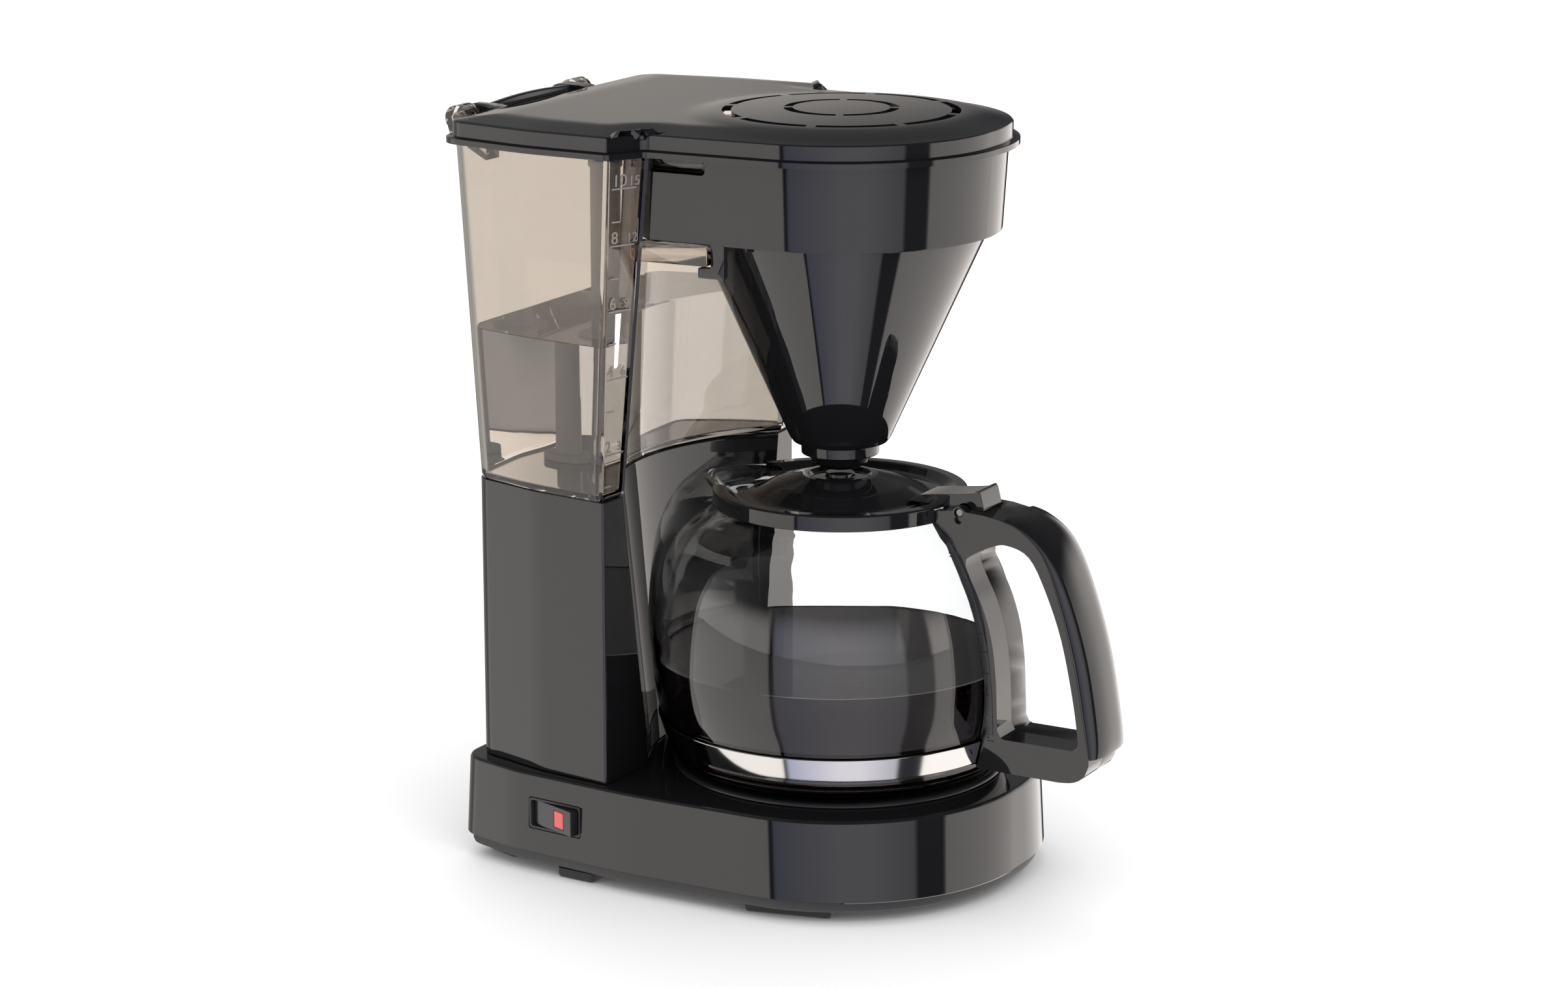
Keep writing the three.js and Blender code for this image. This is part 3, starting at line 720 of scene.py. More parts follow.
@dataclass(frozen=True)
class Finish:
    """A moulded, cast or coated surface.

    Attributes:
        slot: the record's material slot.
        colour: its base colour.
        mottle: how far the colour wanders, as a share.
        rough: its lowest and highest roughness.
        grain: cells to the metre of its surface texture.
        relief: depth of that texture in millimetres.
        drift: cells to the metre of its slow variation.
        stretch: how the texture is stretched along X, Y and Z.
        metallic: 1 for bare metal.
        clear: share of light that passes, with the index below.
        index: index of refraction.
        coat: weight of a clear coat.
        glow: emission strength in its own colour.
        name: what tells apart two finishes of one slot.
    """

    slot: str
    colour: tuple[float, float, float]
    mottle: float = 0.12
    rough: tuple[float, float] = (0.35, 0.45)
    grain: float = 900.0
    relief: float = 0.01
    drift: float = 35.0
    stretch: tuple[float, float, float] = (1, 1, 1)
    metallic: float = 0.0
    clear: float = 0.0
    index: float = 1.5
    coat: float = 0.0
    glow: float = 0.0
    name: str = ""

    def material(self) -> bpy.types.Material:
        """The finish as a Blender material, made once."""
        name = (self.name or self.slot) + "_look"
        if name in bpy.data.materials:
            return bpy.data.materials[name]
        material = bpy.data.materials.new(name)
        material.use_nodes = True
        self.write(Sheet(material.node_tree))
        return material

    def write(self, sheet: Sheet) -> None:
        """Writes the finish's nodes."""
        drift = sheet.noise(self.drift, 4)
        grain = sheet.noise(self.grain, 2, self.stretch)
        dark = tuple(c * (1 - self.mottle) for c in self.colour)
        light = tuple(min(1.0, c * (1 + self.mottle)) for c in self.colour)
        values = {
            "Base Color": sheet.blend(drift * 0.7 + grain * 0.3, dark, light),
            "Metallic": self.metallic,
            "IOR": self.index,
            "Transmission Weight": self.clear,
            "Coat Weight": self.coat,
            "Coat Roughness": 0.04,
            "Roughness": self.rough[0] if self.clear else self.wear(drift, grain),
            "Normal": sheet.node("Bump", {}, {"Strength": 1.0, "Distance": self.relief * MM,
                                              "Height": grain}),
        }
        if self.glow:
            values["Emission Color"] = (*self.colour, 1)
            values["Emission Strength"] = self.glow
        shader = sheet.node("BsdfPrincipled", {}, values)
        sheet.node("OutputMaterial", {}, {"Surface": shader})

    def wear(self, drift: Wire, grain: Wire) -> Wire:
        """Roughness that wanders between its two ends."""
        span = self.rough[1] - self.rough[0]
        return (drift * 0.6 + grain * 0.4) * span + self.rough[0]


GLOSS = Finish("black_gloss", (0.008, 0.008, 0.009), 0.2, (0.012, 0.03), 420, 0.0004, 18)
SATIN = Finish("black_gloss", (0.012, 0.012, 0.014), 0.2, (0.16, 0.28), 2600, 0.003, 25, name="black_satin")
MATT = Finish("black_matt", (0.022, 0.022, 0.023), 0.25, (0.5, 0.68), 2400, 0.03, 40)
SMOKE = Finish("smoke_clear", (0.71, 0.655, 0.595), 0.03, (0.02, 0.02), 60, 0.002, 14, clear=1.0, index=1.49)
SMOKE_MARK = Finish("smoke_clear", (0.2, 0.19, 0.175), 0.06, (0.25, 0.3), 900, 0.004, 50, name="smoke_marks")
MILKY = Finish("riser_plastic", (0.72, 0.7, 0.66), 0.05, (0.3, 0.42), 1200, 0.006, 30)
GLASS = Finish("carafe_glass", (0.985, 0.99, 0.99), 0.005, (0.0, 0.0), 40, 0.003, 10, clear=1.0, index=1.47)
STEEL = Finish("bright_steel", (0.46, 0.455, 0.45), 0.04, (0.05, 0.12), 160, 0.002, 30, (0.4, 0.4, 30),
               metallic=1.0)
PIN = Finish("bright_steel", (0.2, 0.2, 0.2), 0.1, (0.25, 0.4), 900, 0.003, 40, metallic=1.0,
             name="dark_pin")
ZINC = Finish("plated_steel", (0.6, 0.6, 0.62), 0.12, (0.24, 0.4), 1500, 0.006, 60, metallic=1.0)
COATING = Finish("plate_coating", (0.02, 0.02, 0.022), 0.3, (0.22, 0.36), 2200, 0.012, 30, coat=0.2)
CAST = Finish("cast_aluminium", (0.58, 0.58, 0.6), 0.12, (0.38, 0.55), 1600, 0.03, 50, metallic=1.0)
RUBBER = Finish("rubber", (0.025, 0.025, 0.025), 0.25, (0.75, 0.9), 2600, 0.02, 60)
SILICONE = Finish("silicone", (0.7, 0.68, 0.62), 0.06, (0.45, 0.6), 1300, 0.006, 40)
GREY = Finish("grey_plastic", (0.13, 0.14, 0.145), 0.15, (0.4, 0.55), 1700, 0.01, 40)
LENS = Finish("red_lens", (0.5, 0.025, 0.03), 0.15, (0.1, 0.2), 900, 0.004, 80, coat=0.5, glow=0.25)
BROWN = Finish("wire_brown", (0.12, 0.05, 0.025), 0.12, (0.4, 0.5), 1500, 0.006, 60)
BLUE = Finish("wire_blue", (0.03, 0.1, 0.35), 0.12, (0.4, 0.5), 1500, 0.006, 60)
WATER = Finish("water", (0.86, 0.89, 0.92), 0.01, (0.0, 0.0), 70, 0.01, 12, clear=1.0, index=1.33)
COFFEE = Finish("coffee", (0.006, 0.0015, 0.001), 0.3, (0.01, 0.02), 60, 0.0, 30, index=1.34)


def show(piece: bpy.types.Object, finish: Finish, body: Body, *nodes: str) -> bpy.types.Object:
    """Gives a piece its finish, its body and the CAD nodes it stands for.

    Args:
        piece: the finished piece.
        finish: its finish.
        body: what it moves with.
        nodes: the CAD nodes that it replaces.

    Returns:
        The piece.
    """
    piece.data.materials.clear()
    piece.data.materials.append(finish.material())
    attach(piece, body.value)
    if nodes:
        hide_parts(*nodes)
    log.info("%-24s %6d faces, %s on %s", piece.name, len(piece.data.polygons), finish.slot, body.value)
    for axis in range(3):
        places = [vert.co[axis] for vert in piece.data.vertices]
        if min(places) < cad_box[0][axis] - 2e-5 or max(places) > cad_box[1][axis] + 2e-5:
            log.warning("%s leaves the CAD box: %s %.5f to %.5f", piece.name, "XYZ"[axis], min(places),
                        max(places))
    return piece


# ---------------------------------------------------------------- plans shared by the sub-assemblies

BASE_PLAN = mirrored([(79.4, -77.6, 76, 40), (79.4, 50, 200, 3), (74.2, 104, 60, 4), (66.5, 132, 12, 10)])
TANK_HIGH = mirrored([(66.5, 46.5, 0, 1), (80.8, 54.2, 2.5, 6), (79.6, 90, 120, 4), (72.5, 129, 11, 10)])
TANK_FOOT = mirrored([(62.5, 60.4, 0, 1), (76.6, 61.4, 2.5, 6), (72.2, 94, 120, 4), (62.5, 126, 11, 10)])
BRIM_PLAN = mirrored([(65.2, -65.8, 65, 44), (69.8, 44.6, 2, 3), (83.6, 52.8, 3, 5), (82.8, 90, 120, 5),
                      (75.5, 131.6, 12, 10)])


def tower_plan(z: float) -> list[Corner]:
    """The tower's plan at a height: its front lands reach to the hollow.

    Args:
        z: the height.

    Returns:
        The corners of the plan.
    """
    reach = math.sqrt(bay_radius(z) ** 2 - LAND_Y ** 2)
    return mirrored([(reach, LAND_Y, 0, 1), (74.3, 61.2, 1.2, 5), (70.2, 94, 60, 4), (60.6, 127.4, 10, 10)])


def bay_radius(z: float) -> float:
    """Radius of the hollow round the carafe and the filter at a height.

    Args:
        z: the height.

    Returns:
        The radius.
    """
    if z < TANK_LOW:
        return BAY_FOOT_R + (BAY_LOW_R - BAY_FOOT_R) * (z - BASE_TOP) / (TANK_LOW - BASE_TOP)
    return BAY_LOW_R + (BAY_HIGH_R - BAY_LOW_R) * (z - TANK_LOW) / (TANK_TOP - TANK_LOW)


def hollowed(corners: Sequence[Corner], z: float, by: float = 0.0, steps: int = 56) -> Loop:
    """A plan whose front follows the bay.

    Args:
        corners: the plan, its first and last corner where the bay begins.
        z: the height, which gives the bay's radius.
        by: how far the loop lies inside the plan.
        steps: facets across the bay.

    Returns:
        The loop at that height.
    """
    moved = inset(corners, by)
    radius = bay_radius(z) + by
    reach = min(moved[0][0] - 0.4, radius - 1)
    limit = math.acos(reach / radius)
    arc = [(radius * math.cos(a), radius * math.sin(a))
           for a in (math.pi - limit - (math.pi - 2 * limit) * k / steps for k in range(steps + 1))]
    return flat([*rounded(moved), *arc], z)


# ---------------------------------------------------------------- base


@dataclass
class Base:
    """Base shell, bottom plate, feet, screws and warming plate."""

    plate_hole: float = 59.0
    foot_height: float = 3.7
    plate_low: float = 4.0

    def shell(self) -> None:
        """The shell with its openings for the plate, the switch and the cord."""
        floor = inset(BASE_PLAN, -0.8)
        clay = Clay("base_housing", flat(rounded(inset(BASE_PLAN, WALL + 1)), BASE_TOP - WALL))
        clay.cap().pull(
            flat(rounded(inset(floor, WALL + 0.4)), BASE_LOW), flat(rounded(inset(floor, 0.3)), BASE_LOW),
            flat(rounded(floor), BASE_LOW + 0.4), flat(rounded(inset(BASE_PLAN, 0.28)), BASE_TOP - 1.5),
            flat(rounded(inset(BASE_PLAN, 0.5)), BASE_TOP - 0.75),
            flat(rounded(inset(BASE_PLAN, 0.95)), BASE_TOP - 0.2),
            flat(rounded(inset(BASE_PLAN, 1.7)), BASE_TOP),
        ).cap()
        shell = clay.done()
        hole = slab("hole", circle(self.plate_hole, 96), 30, 50)
        port = switch_box("port", -12, 8, 0.3, 1.2)
        inlet = lathe("inlet", [(0, 110, 0, 1), (5.8, 110, 0, 1), (5.8, 140, 0, 1), (0, 140, 0, 1)],
                      steps=32)
        inlet.data.transform(Matrix.Translation(spot(-38, 0, 20)) @ Matrix.Rotation(-math.pi / 2, 4, "X")
                             @ Matrix.Translation(-spot(0, 0, 0)))
        carve(shell, hole, port, inlet)
        show(soften(shell, 0, angle=32), GLOSS, Body.BASE, "base_shell")

    def bottom(self) -> None:
        """The matt bottom plate under the shell."""
        rim = inset(BASE_PLAN, 0.9)
        clay = Clay("bottom_tray", flat(rounded(inset(BASE_PLAN, 5.4)), self.plate_low + WALL)).cap()
        clay.pull(flat(rounded(inset(BASE_PLAN, 5.0)), BASE_LOW - 0.3), flat(rounded(rim), BASE_LOW - 0.3),
                  flat(rounded(rim), self.plate_low + 2.2),
                  flat(rounded(inset(BASE_PLAN, 1.3)), self.plate_low + 1.2),
                  flat(rounded(inset(BASE_PLAN, 3.4)), self.plate_low)).cap()
        show(soften(clay.done(), 0, angle=30), MATT, Body.BASE, "bottom_plate")

    def feet(self) -> None:
        """Six rubber feet, in the places of their nodes."""
        for i in range(1, 7):
            node = f"foot_{i}"
            mid = (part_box(node)[0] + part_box(node)[1]) / 2
            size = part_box(node)[1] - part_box(node)[0]
            turn = {1: -0.35, 2: 0.35, 3: -0.06, 4: 0.06, 5: 0.22, 6: -0.22}[i]
            half = 17.0 if size.y / MM > 25 else 8.5
            pad = mirrored([(4.5, -half, 2, 5), (4.5, half, 2, 5)])
            clay = Clay(f"rubber_foot_{i}", flat(rounded(inset(pad, 1.0)), 0)).cap()
            clay.pull(flat(rounded(inset(pad, 0.4)), 0.25), flat(rounded(inset(pad, 0.05)), 0.9),
                      flat(rounded(pad), self.foot_height)).cap()
            foot = clay.done()
            foot.data.transform(Matrix.Translation((mid.x, mid.y, 0)) @ Matrix.Rotation(turn, 4, "Z")
                                @ Matrix.Translation(-spot(0, 0, 0)))
            show(soften(foot, 0, angle=40), RUBBER, Body.BASE, node)

    def plate(self) -> None:
        """The warming plate: a rolled rim, a shallow ring and a faintly dished middle."""
        z, r = top("warming_plate"), 64.0
        plate = lathe("hot_plate", [
            (0, z - 1.1, 0, 1), (55.6, z - 1.1, 0, 1), (55.6, z - 4, 0, 1), (57, z - 4, 0, 1),
            (57, z - 1.1, 0.3, 2),
            (r + 0.5, z - 1.1, 0.3, 3), (r + 0.5, z - 0.1, 0.9, 6), (r - 1.8, z, 0.6, 4),
            (r - 3.2, z - 0.7, 0.6, 4),
            (45, z - 0.5, 2, 4), (44, z - 0.75, 0.5, 3), (14, z - 0.75, 0.5, 3), (13, z - 0.55, 1, 3),
            (0, z - 0.5, 0, 1),
        ], steps=128)
        show(soften(plate, 0, angle=40), COATING, Body.BASE, "warming_plate")

    def build(self) -> None:
        """Builds the whole base."""
        self.shell()
        self.bottom()
        self.feet()
        self.plate()


# ---------------------------------------------------------------- switch

SWITCH_TURN = math.radians(-5.5)
SWITCH_Y = 83.3
SWITCH_X = -76.1
SWITCH_Z = 25.0
SWITCH_LENGTH = 24.6
SWITCH_HEIGHT = 12.2


def on_side(piece: bpy.types.Object) -> bpy.types.Object:
    """Moves a shape drawn about the switch's middle onto the slanting side of the base.

    Args:
        piece: the shape.

    Returns:
        The same piece.
    """
    place = Matrix.Translation(spot(SWITCH_X, SWITCH_Y, SWITCH_Z)) @ Matrix.Rotation(SWITCH_TURN, 4, "Z")
    piece.data.transform(place @ Matrix.Translation(-spot(0, 0, 0)))
    return piece


def switch_box(name: str, x0: float, x1: float, grow: float, edge: float) -> bpy.types.Object:
    """A rounded box of the switch's outline, already on the side of the base.

    Args:
        name: its name.
        x0: outer end.
        x1: inner end.
        grow: how much larger than the switch.
        edge: rounding of its corners.

    Returns:
        The piece.
    """
    y, z = SWITCH_LENGTH / 2 + grow, SWITCH_HEIGHT / 2 + grow
    corners = [(-y, -z, edge, 4), (y, -z, edge, 4), (y, z, edge, 4), (-y, z, edge, 4)]
    return on_side(sideways(name, rounded(corners), x0, x1))


@dataclass
class Switch:
    """Rocker switch in the side of the base."""

    half: float = 4.9

    def bezel(self) -> None:
        """The frame round the rocker."""
        frame_ = switch_box("switch_frame", -0.45, 8, 0, 1.2)
        carve(frame_, switch_box("inner", -2, 9, -0.85, 0.9))
        show(soften(frame_, 0.25, 2, 40), MATT, Body.BASE, "switch_bezel")

    def rocker(self) -> None:
        """The paddle, pressed in at its back end, with its window."""
        reach = SWITCH_LENGTH / 2 - 1.3
        paddle = [(1.2, reach), (-1.2, 0.5), (-4.1, -reach + 0.6), (-2.6, -reach), (4.7, -reach), (6.3, 0),
                  (4.3, reach)]
        piece = Clay("rocker_paddle", [spot(x, y, -self.half) for x, y in paddle])
        piece = piece.fill(Vector((0, 0, 2 * self.half * MM))).done()
        pocket = box("pocket", (-9, -6.3, -3.5), (-0.4, -0.4, 3.5), 0.3)
        carve(piece, pocket)
        show(soften(on_side(piece), 0.5, 3, 30), SATIN, Body.ROCKER, "switch_rocker")
        lens = Clay("rocker_lamp", [spot(x, y, -3.3) for x,
                                    y in [(0, -0.6), (-1.7, -0.6), (-3.2, -6.1), (0, -6.1)]])
        lens = lens.fill(Vector((0, 0, 6.6 * MM))).done()
        show(soften(on_side(lens), 0.4, 3, 30), LENS, Body.ROCKER, "switch_lamp")

    def build(self) -> None:
        """Builds the switch."""
        self.bezel()
        self.rocker()


# ---------------------------------------------------------------- tower and tank


@dataclass
class Tower:
    """Tower between the base and the tank."""

    rings: int = 8

    def build(self) -> None:
        """Builds the tower: a closed skin, outside up and inside down."""
        z0, z1 = TOWER_LOW, TOWER_TOP
        levels = [z0 + 0.4 + (z1 - z0 - 0.9) * k / self.rings for k in range(self.rings + 1)]

        def ring(z: float, by: float = 0.0) -> Loop:
            """The tower's outline at a height, moved inwards."""
            return hollowed(tower_plan(z), z, by)

        clay = Clay("tower_housing", ring(z0, WALL)).pull(ring(z0, 0.3))
        clay.pull(*[ring(z, 0.0) for z in levels], ring(z1 - 0.15, 0.12), ring(z1, 0.5), ring(z1, WALL))
        clay.pull(*[ring(z, WALL) for z in reversed(levels)], ring(z0, WALL))
        show(soften(clay.done(), 0, angle=38), GLOSS, Body.BASE, "tower_shell")


@dataclass
class Tank:
    """Smoke-clear tank with its scale, its arms for the filter, its hinge eyes and its water."""

    marks: tuple = ((271.5, "10", "15"), (250.0, "8", "12"), (225.0, "6", "9"), (199.0, "4", "6"),
                    (169.7, "2", "3"))
    digit: float = 4.6

    def loop(self, z: float, by: float = 0.0) -> Loop:
        """The tank's outline at a height.

        Args:
            z: the height.
            by: how far the loop lies inside the outline.

        Returns:
            The loop.
        """
        t = max(0.0, (z - TANK_LOW) / (TANK_TOP - TANK_LOW))
        plan = [(a[0] + (b[0] - a[0]) * t, a[1] + (b[1] - a[1]) * t, a[2], a[3])
                for a, b in zip(TANK_FOOT, TANK_HIGH)]
        return hollowed(plan, z, by)

    def shell(self) -> None:
        """The tank's walls and floor."""
        z0, z1 = TANK_LOW, TANK_TOP
        clay = Clay("tank_body", self.loop(z0, 2.0)).cap()
        clay.pull(self.loop(z0 + 0.1, 1.2), self.loop(z0 + 0.8, 0.3), self.loop(z0 + 2, 0),
                  self.loop(z1 - 0.4, 0),
                  self.loop(z1, 0.4), self.loop(z1, WALL - 0.3), self.loop(z1 - 0.3, WALL),
                  self.loop(z0 + WALL + 1.8, WALL), self.loop(z0 + WALL + 0.4, WALL + 0.5),
                  self.loop(z0 + WALL, WALL + 1.6)).cap()
        tank = clay.done()
        notch = box("notch", (-8, 60, 273.4), (8, 92, z1 + 2), 1)
        riser = slab("riser", circle(8.8, 32, 0, 104), z0 - 2, z0 + 5)
        carve(tank, notch, riser)
        show(soften(tank, 0, angle=34), SMOKE, Body.BASE, "water_tank")

    def water(self) -> None:
        """The water, up to its level."""
        z0 = TANK_LOW + WALL
        clay = Clay("tank_water", self.loop(z0 + 0.05, WALL + 1.7)).cap()
        clay.pull(self.loop(z0 + 0.5, WALL + 0.6), self.loop(z0 + 1.9, WALL + 0.06),
                  self.loop(WATER_LEVEL - 0.3, WALL + 0.06), self.loop(WATER_LEVEL, WALL + 0.4)).cap()
        show(soften(clay.done(), 0, angle=40), WATER, Body.BASE)

    def arms(self) -> None:
        """The arms under and over the filter's band, and the hinge eyes."""
        arm = sideways("tank_arm_right", rounded([(22, 243.4, 1, 3), (55.5, 243, 0.3, 2),
                                                  (55.5, 250.7, 0.3, 2),
                                                  (22, 250.7, 1.2, 3)]), 58.8, 63.6)
        show(soften(arm, 0.4, 2), SMOKE, Body.BASE)
        show(other_side(arm, "tank_arm_left"), SMOKE, Body.BASE)
        finger = sideways("tank_finger_right", rounded([(25, 277.6, 0.8, 3), (57, 277.6, 0.3, 2),
                                                        (57, 282.4, 0.3, 2),
                                                        (25, 282.4, 0.8, 3)]), 56.4, 60)
        show(soften(finger, 0.3, 2), SMOKE, Body.BASE)
        show(other_side(finger, "tank_finger_left"), SMOKE, Body.BASE)
        eye_x, y, z, r, half = EYE_X, HINGE_Y, HINGE_Z, EYE_R, 3.8
        arc = [(y + r * math.cos(math.radians(a)), z + r * math.sin(math.radians(a))) for a in range(-40,
                                                                                                     186,
                                                                                                     15)]
        arm_line = [(129.4, z - 15), (130.4, z - 14.6), (y + r - 2, z - 6.5), *arc, (132.8, z - 7),
                    (129.4, z - 8)]
        eye = sideways("tank_eye_right", arm_line, eye_x - half, eye_x + half + 1.5)
        carve(eye, axle("bore", 2.3, 30, eye_x + 4.3, y, z, 0.1))
        show(soften(eye, 1.3, 4), SMOKE, Body.BASE)
        show(other_side(eye, "tank_eye_left"), SMOKE, Body.BASE)
        for side, name in ((-1, "left"), (1, "right")):
            ends = sorted((side * (eye_x - 12), side * (eye_x + 4.2)))
            show(soften(axle(f"lid_pin_{name}", 2, *ends, y, z), 0, angle=40), STEEL, Body.BASE,
                 f"hinge_pin_{name}")

    def scale(self) -> None:
        """Raised numbers and ticks on the near corner face, left side of the machine."""
        def face(z: float) -> tuple[Vector, Vector]:
            """The two ends of the corner face's level line at a height."""
            t = (z - TANK_LOW) / (TANK_TOP - TANK_LOW)
            inner = Vector(TANK_FOOT[0][:2]).lerp(Vector(TANK_HIGH[0][:2]), t)
            outer = Vector(TANK_FOOT[1][:2]).lerp(Vector(TANK_HIGH[1][:2]), t)
            return Vector((-outer.x, outer.y)), Vector((-inner.x, inner.y))

        def lie(piece: bpy.types.Object, z: float, lift: float) -> None:
            """Lays a flat shape on the corner face, lifted a little."""
            a, b = face(z)
            along = (b - a).normalized()
            out = Vector((along.y, -along.x))
            up = (face(z + 10)[0] - a) / 10
            at = spot(a.x + out.x * lift, a.y + out.y * lift, z)
            columns = (along.to_3d(), Vector((up.x, up.y, 1)), out.to_3d())
            turn = Matrix([[c[i] for c in columns] for i in range(3)]).to_4x4()
            piece.data.transform(Matrix.Translation(at) @ turn)

        made = []
        for z, large, small in self.marks:
            for words, size, place in ((large, self.digit, 2.6), (small, self.digit * 0.8, 9.6)):
                piece = lettering(words, size, 0.25)
                piece.data.transform(Matrix.Translation((place * MM, 1.2 * MM, 0)))
                lie(piece, z, 0.02)
                made.append(piece)
            for dz, start, end in ((0, 2.4, 13.2), (-12.4, 2.6, 6.6)):
                tick = Clay("tick", [Vector((x * MM, y * MM, 0)) for x, y in
                                     ((start, 0), (end, 0), (end, 0.55), (start, 0.55))])
                tick = tick.fill(Vector((0, 0, 0.3 * MM))).done()
                lie(tick, z + dz, 0.02)
                made.append(tick)
        show(joined("tank_scale", *made), SMOKE_MARK, Body.BASE)

    def build(self) -> None:
        """Builds the tank."""
        self.shell()
        self.water()
        self.arms()
        self.scale()


def lettering(words: str, size: float, depth: float) -> bpy.types.Object:
    """Plain raised figures, lying on the XY plane at the world's origin.

    Args:
        words: the figures.
        size: their height in millimetres.
        depth: how far they stand out.

    Returns:
        A mesh.
    """
    fresh()
    bpy.ops.object.text_add(location=(0, 0, 0))
    text = bpy.context.object
    text.data.body = words
    text.data.size = size * MM * 1.4
    text.data.extrude = depth * MM / 2
    text.data.bevel_depth = 0.04 * MM
    bpy.ops.object.convert(target="MESH")
    text.data.transform(Matrix.Translation((0, 0, depth * MM / 2)))
    return text


# ---------------------------------------------------------------- lid


@dataclass
class Lid:
    """Lid: a brim, a low wall, a hipped roof and a round vented crown over the filter."""

    edge: float = 291.3
    ridge: float = 293.5
    hip: float = 15.5
    foot_r: float = 60.0
    slots: tuple = ((41.5, 45.0, 8, 3), (18.4, 21.8, 4, 5))

    def roof(self, depth: float, radius: float) -> float:
        """Height of the roof.

        Args:
            depth: distance inside the wall.
            radius: distance from the brew axis.

        Returns:
            The height: the higher of the hipped roof and the crown, run smoothly together.
        """
        slope = (self.ridge - self.edge) / self.hip
        soft = 0.12
        hip = self.ridge - soft * math.log(1 + math.exp((self.ridge - self.edge - slope * depth) / soft))
        crown = LID_TOP - radius ** 2 / 1688 - 2.3 * max(0.0, (radius - 45) / 16.5) ** 2
        blend = 0.5
        high = max(hip, crown)
        return high + blend * math.log(math.exp((hip - high) / blend) + math.exp((crown - high) / blend)) * (
            1 if radius > 40 else ease((radius - 20) / 20))

    def depth(self, wall: list[Point], p: Vector) -> float:
        """Distance of a point from the wall's outline.

        Args:
            wall: the outline's points.
            p: the point.

        Returns:
            The distance in millimetres.
        """
        best = 1e9
        for (ax, ay), (bx, by) in zip(wall, wall[1:] + wall[:1]):
            a, b = Vector((ax, ay)), Vector((bx, by))
            along = b - a
            t = min(1.0, max(0.0, (p - a).dot(along) / max(along.length_squared, 1e-9)))
            best = min(best, (p - a - along * t).length)
        return best

    def shell(self) -> None:
        """The lid as one open skin, given its wall thickness, with the vents cut in its faces."""
        reference = dense_counts(rounded(inset(BRIM_PLAN, 2.3)), 224)
        wall = densely(rounded(inset(BRIM_PLAN, 2.3)), reference)
        count = len(wall)

        def ring(by: float, z: float) -> Loop:
            """The brim moved inwards, at a height."""
            return flat(densely(rounded(inset(BRIM_PLAN, by)), reference), z)

        start = math.atan2(wall[0][1], wall[0][0])
        level = [start + math.tau * i / count for i in range(count)]
        shift = [(math.atan2(y, x) - a + math.pi) % math.tau - math.pi for (x, y), a in zip(wall, level)]
        for _ in range(60):
            shift = [(shift[i - 1] + 2 * shift[i] + shift[(i + 1) % count]) / 4 for i in range(count)]

        def polar(radius: float, even: float) -> list[Vector]:
            """Points round the brew axis, as evenly spread as asked."""
            turns = (a + off * (1 - even) for a, off in zip(level, shift))
            return [Vector((radius * math.cos(a), radius * math.sin(a))) for a in turns]

        def raised(points: list[Vector]) -> Loop:
            """Points lifted to the roof."""
            return [spot(p.x, p.y, self.roof(self.depth(wall, p), p.length)) for p in points]

        foot = polar(self.foot_r, 0)
        edge = raised([Vector(p) for p in wall])
        clay = Clay("lid_shell", ring(-0.2, BRIM_LOW))
        clay.pull(ring(-0.2, BRIM_LOW + 2.1), ring(0.1, BRIM_LOW + 2.3), ring(1.9, BRIM_LOW + 2.45),
                  ring(2.3, BRIM_LOW + 2.7), [v - Vector((0, 0, 0.5 * MM)) for v in edge])
        inner = densely(rounded(inset(BRIM_PLAN, 2.8)), reference)
        clay.pull(raised([Vector(p) for p in inner]))
        steps = 22
        for k in range(1, steps + 1):
            t = (k / steps) ** 1.15
            clay.pull(raised([Vector(a).lerp(b, t) for a, b in zip(inner, foot)]))
        for radius in (58, 56, 54, 52, 50, 48, 46.4, 45, 43.2, 41.5, 40, 37, 34, 31, 28, 25, 23, 21.8, 20.1,
                       18.4,
                       16, 12, 8, 4, 1.5):
            clay.pull(raised(polar(radius, ease((61 - radius) / 9))))
        clay.cap()
        for start, end, slots, gap in self.slots:
            clay.cut_sectors(start, end, slots, gap, count)
        lid = clay.done()
        modify(lid, "SOLIDIFY", thickness=2.0 * MM, offset=-1)
        show(soften(lid, 0.25, 2, 48), GLOSS, Body.LID, "lid")

    def ears(self) -> None:
        """The two ears that the hinge pins pass through."""
        y, z, x = HINGE_Y, HINGE_Z, 32.4
        arc = [(y + 4.2 * math.cos(math.radians(a)),
                z + 4.2 * math.sin(math.radians(a))) for a in range(-80, 97, 16)]
        line = [(129, 286.8), (133, 286), *arc, (133, self.edge + 0.3), (129, self.edge - 0.5)]
        ear = sideways("lid_ear_right", line, x - 3.9, x + 3.9)
        carve(ear, axle("bore", 2.3, 20, 60, y, z, 0.1))
        show(soften(ear, 0.5, 2), GLOSS, Body.LID)
        show(other_side(ear, "lid_ear_left"), GLOSS, Body.LID)

    def rail(self) -> None:
        """The curved rail behind the roof, between the two hinge eyes."""
        def section(x: float) -> Loop:
            """The rail's section at a place across the machine."""
            rise = HINGE_Z + 5.0 - 1.9 * (x / 36) ** 2
            line = rounded([(130, HINGE_Z - 2, 0, 1), (139.6, HINGE_Z - 1, 0.6, 3), (140, rise, 0.9, 4),
                            (137.4, rise, 0.9, 4), (136.6, HINGE_Z + 2.4, 1, 3), (130, HINGE_Z + 2, 0, 1)])
            return [spot(x, y, z) for y, z in line]

        clay = Clay("lid_rail", section(-36)).cap().pull(*[section(-36 + 6 * k) for k in range(1, 13)]).cap()
        show(soften(clay.done(), 0.3, 2, 50), GLOSS, Body.LID)

    def build(self) -> None:
        """Builds the lid."""
        self.shell()
        self.ears()
        self.rail()


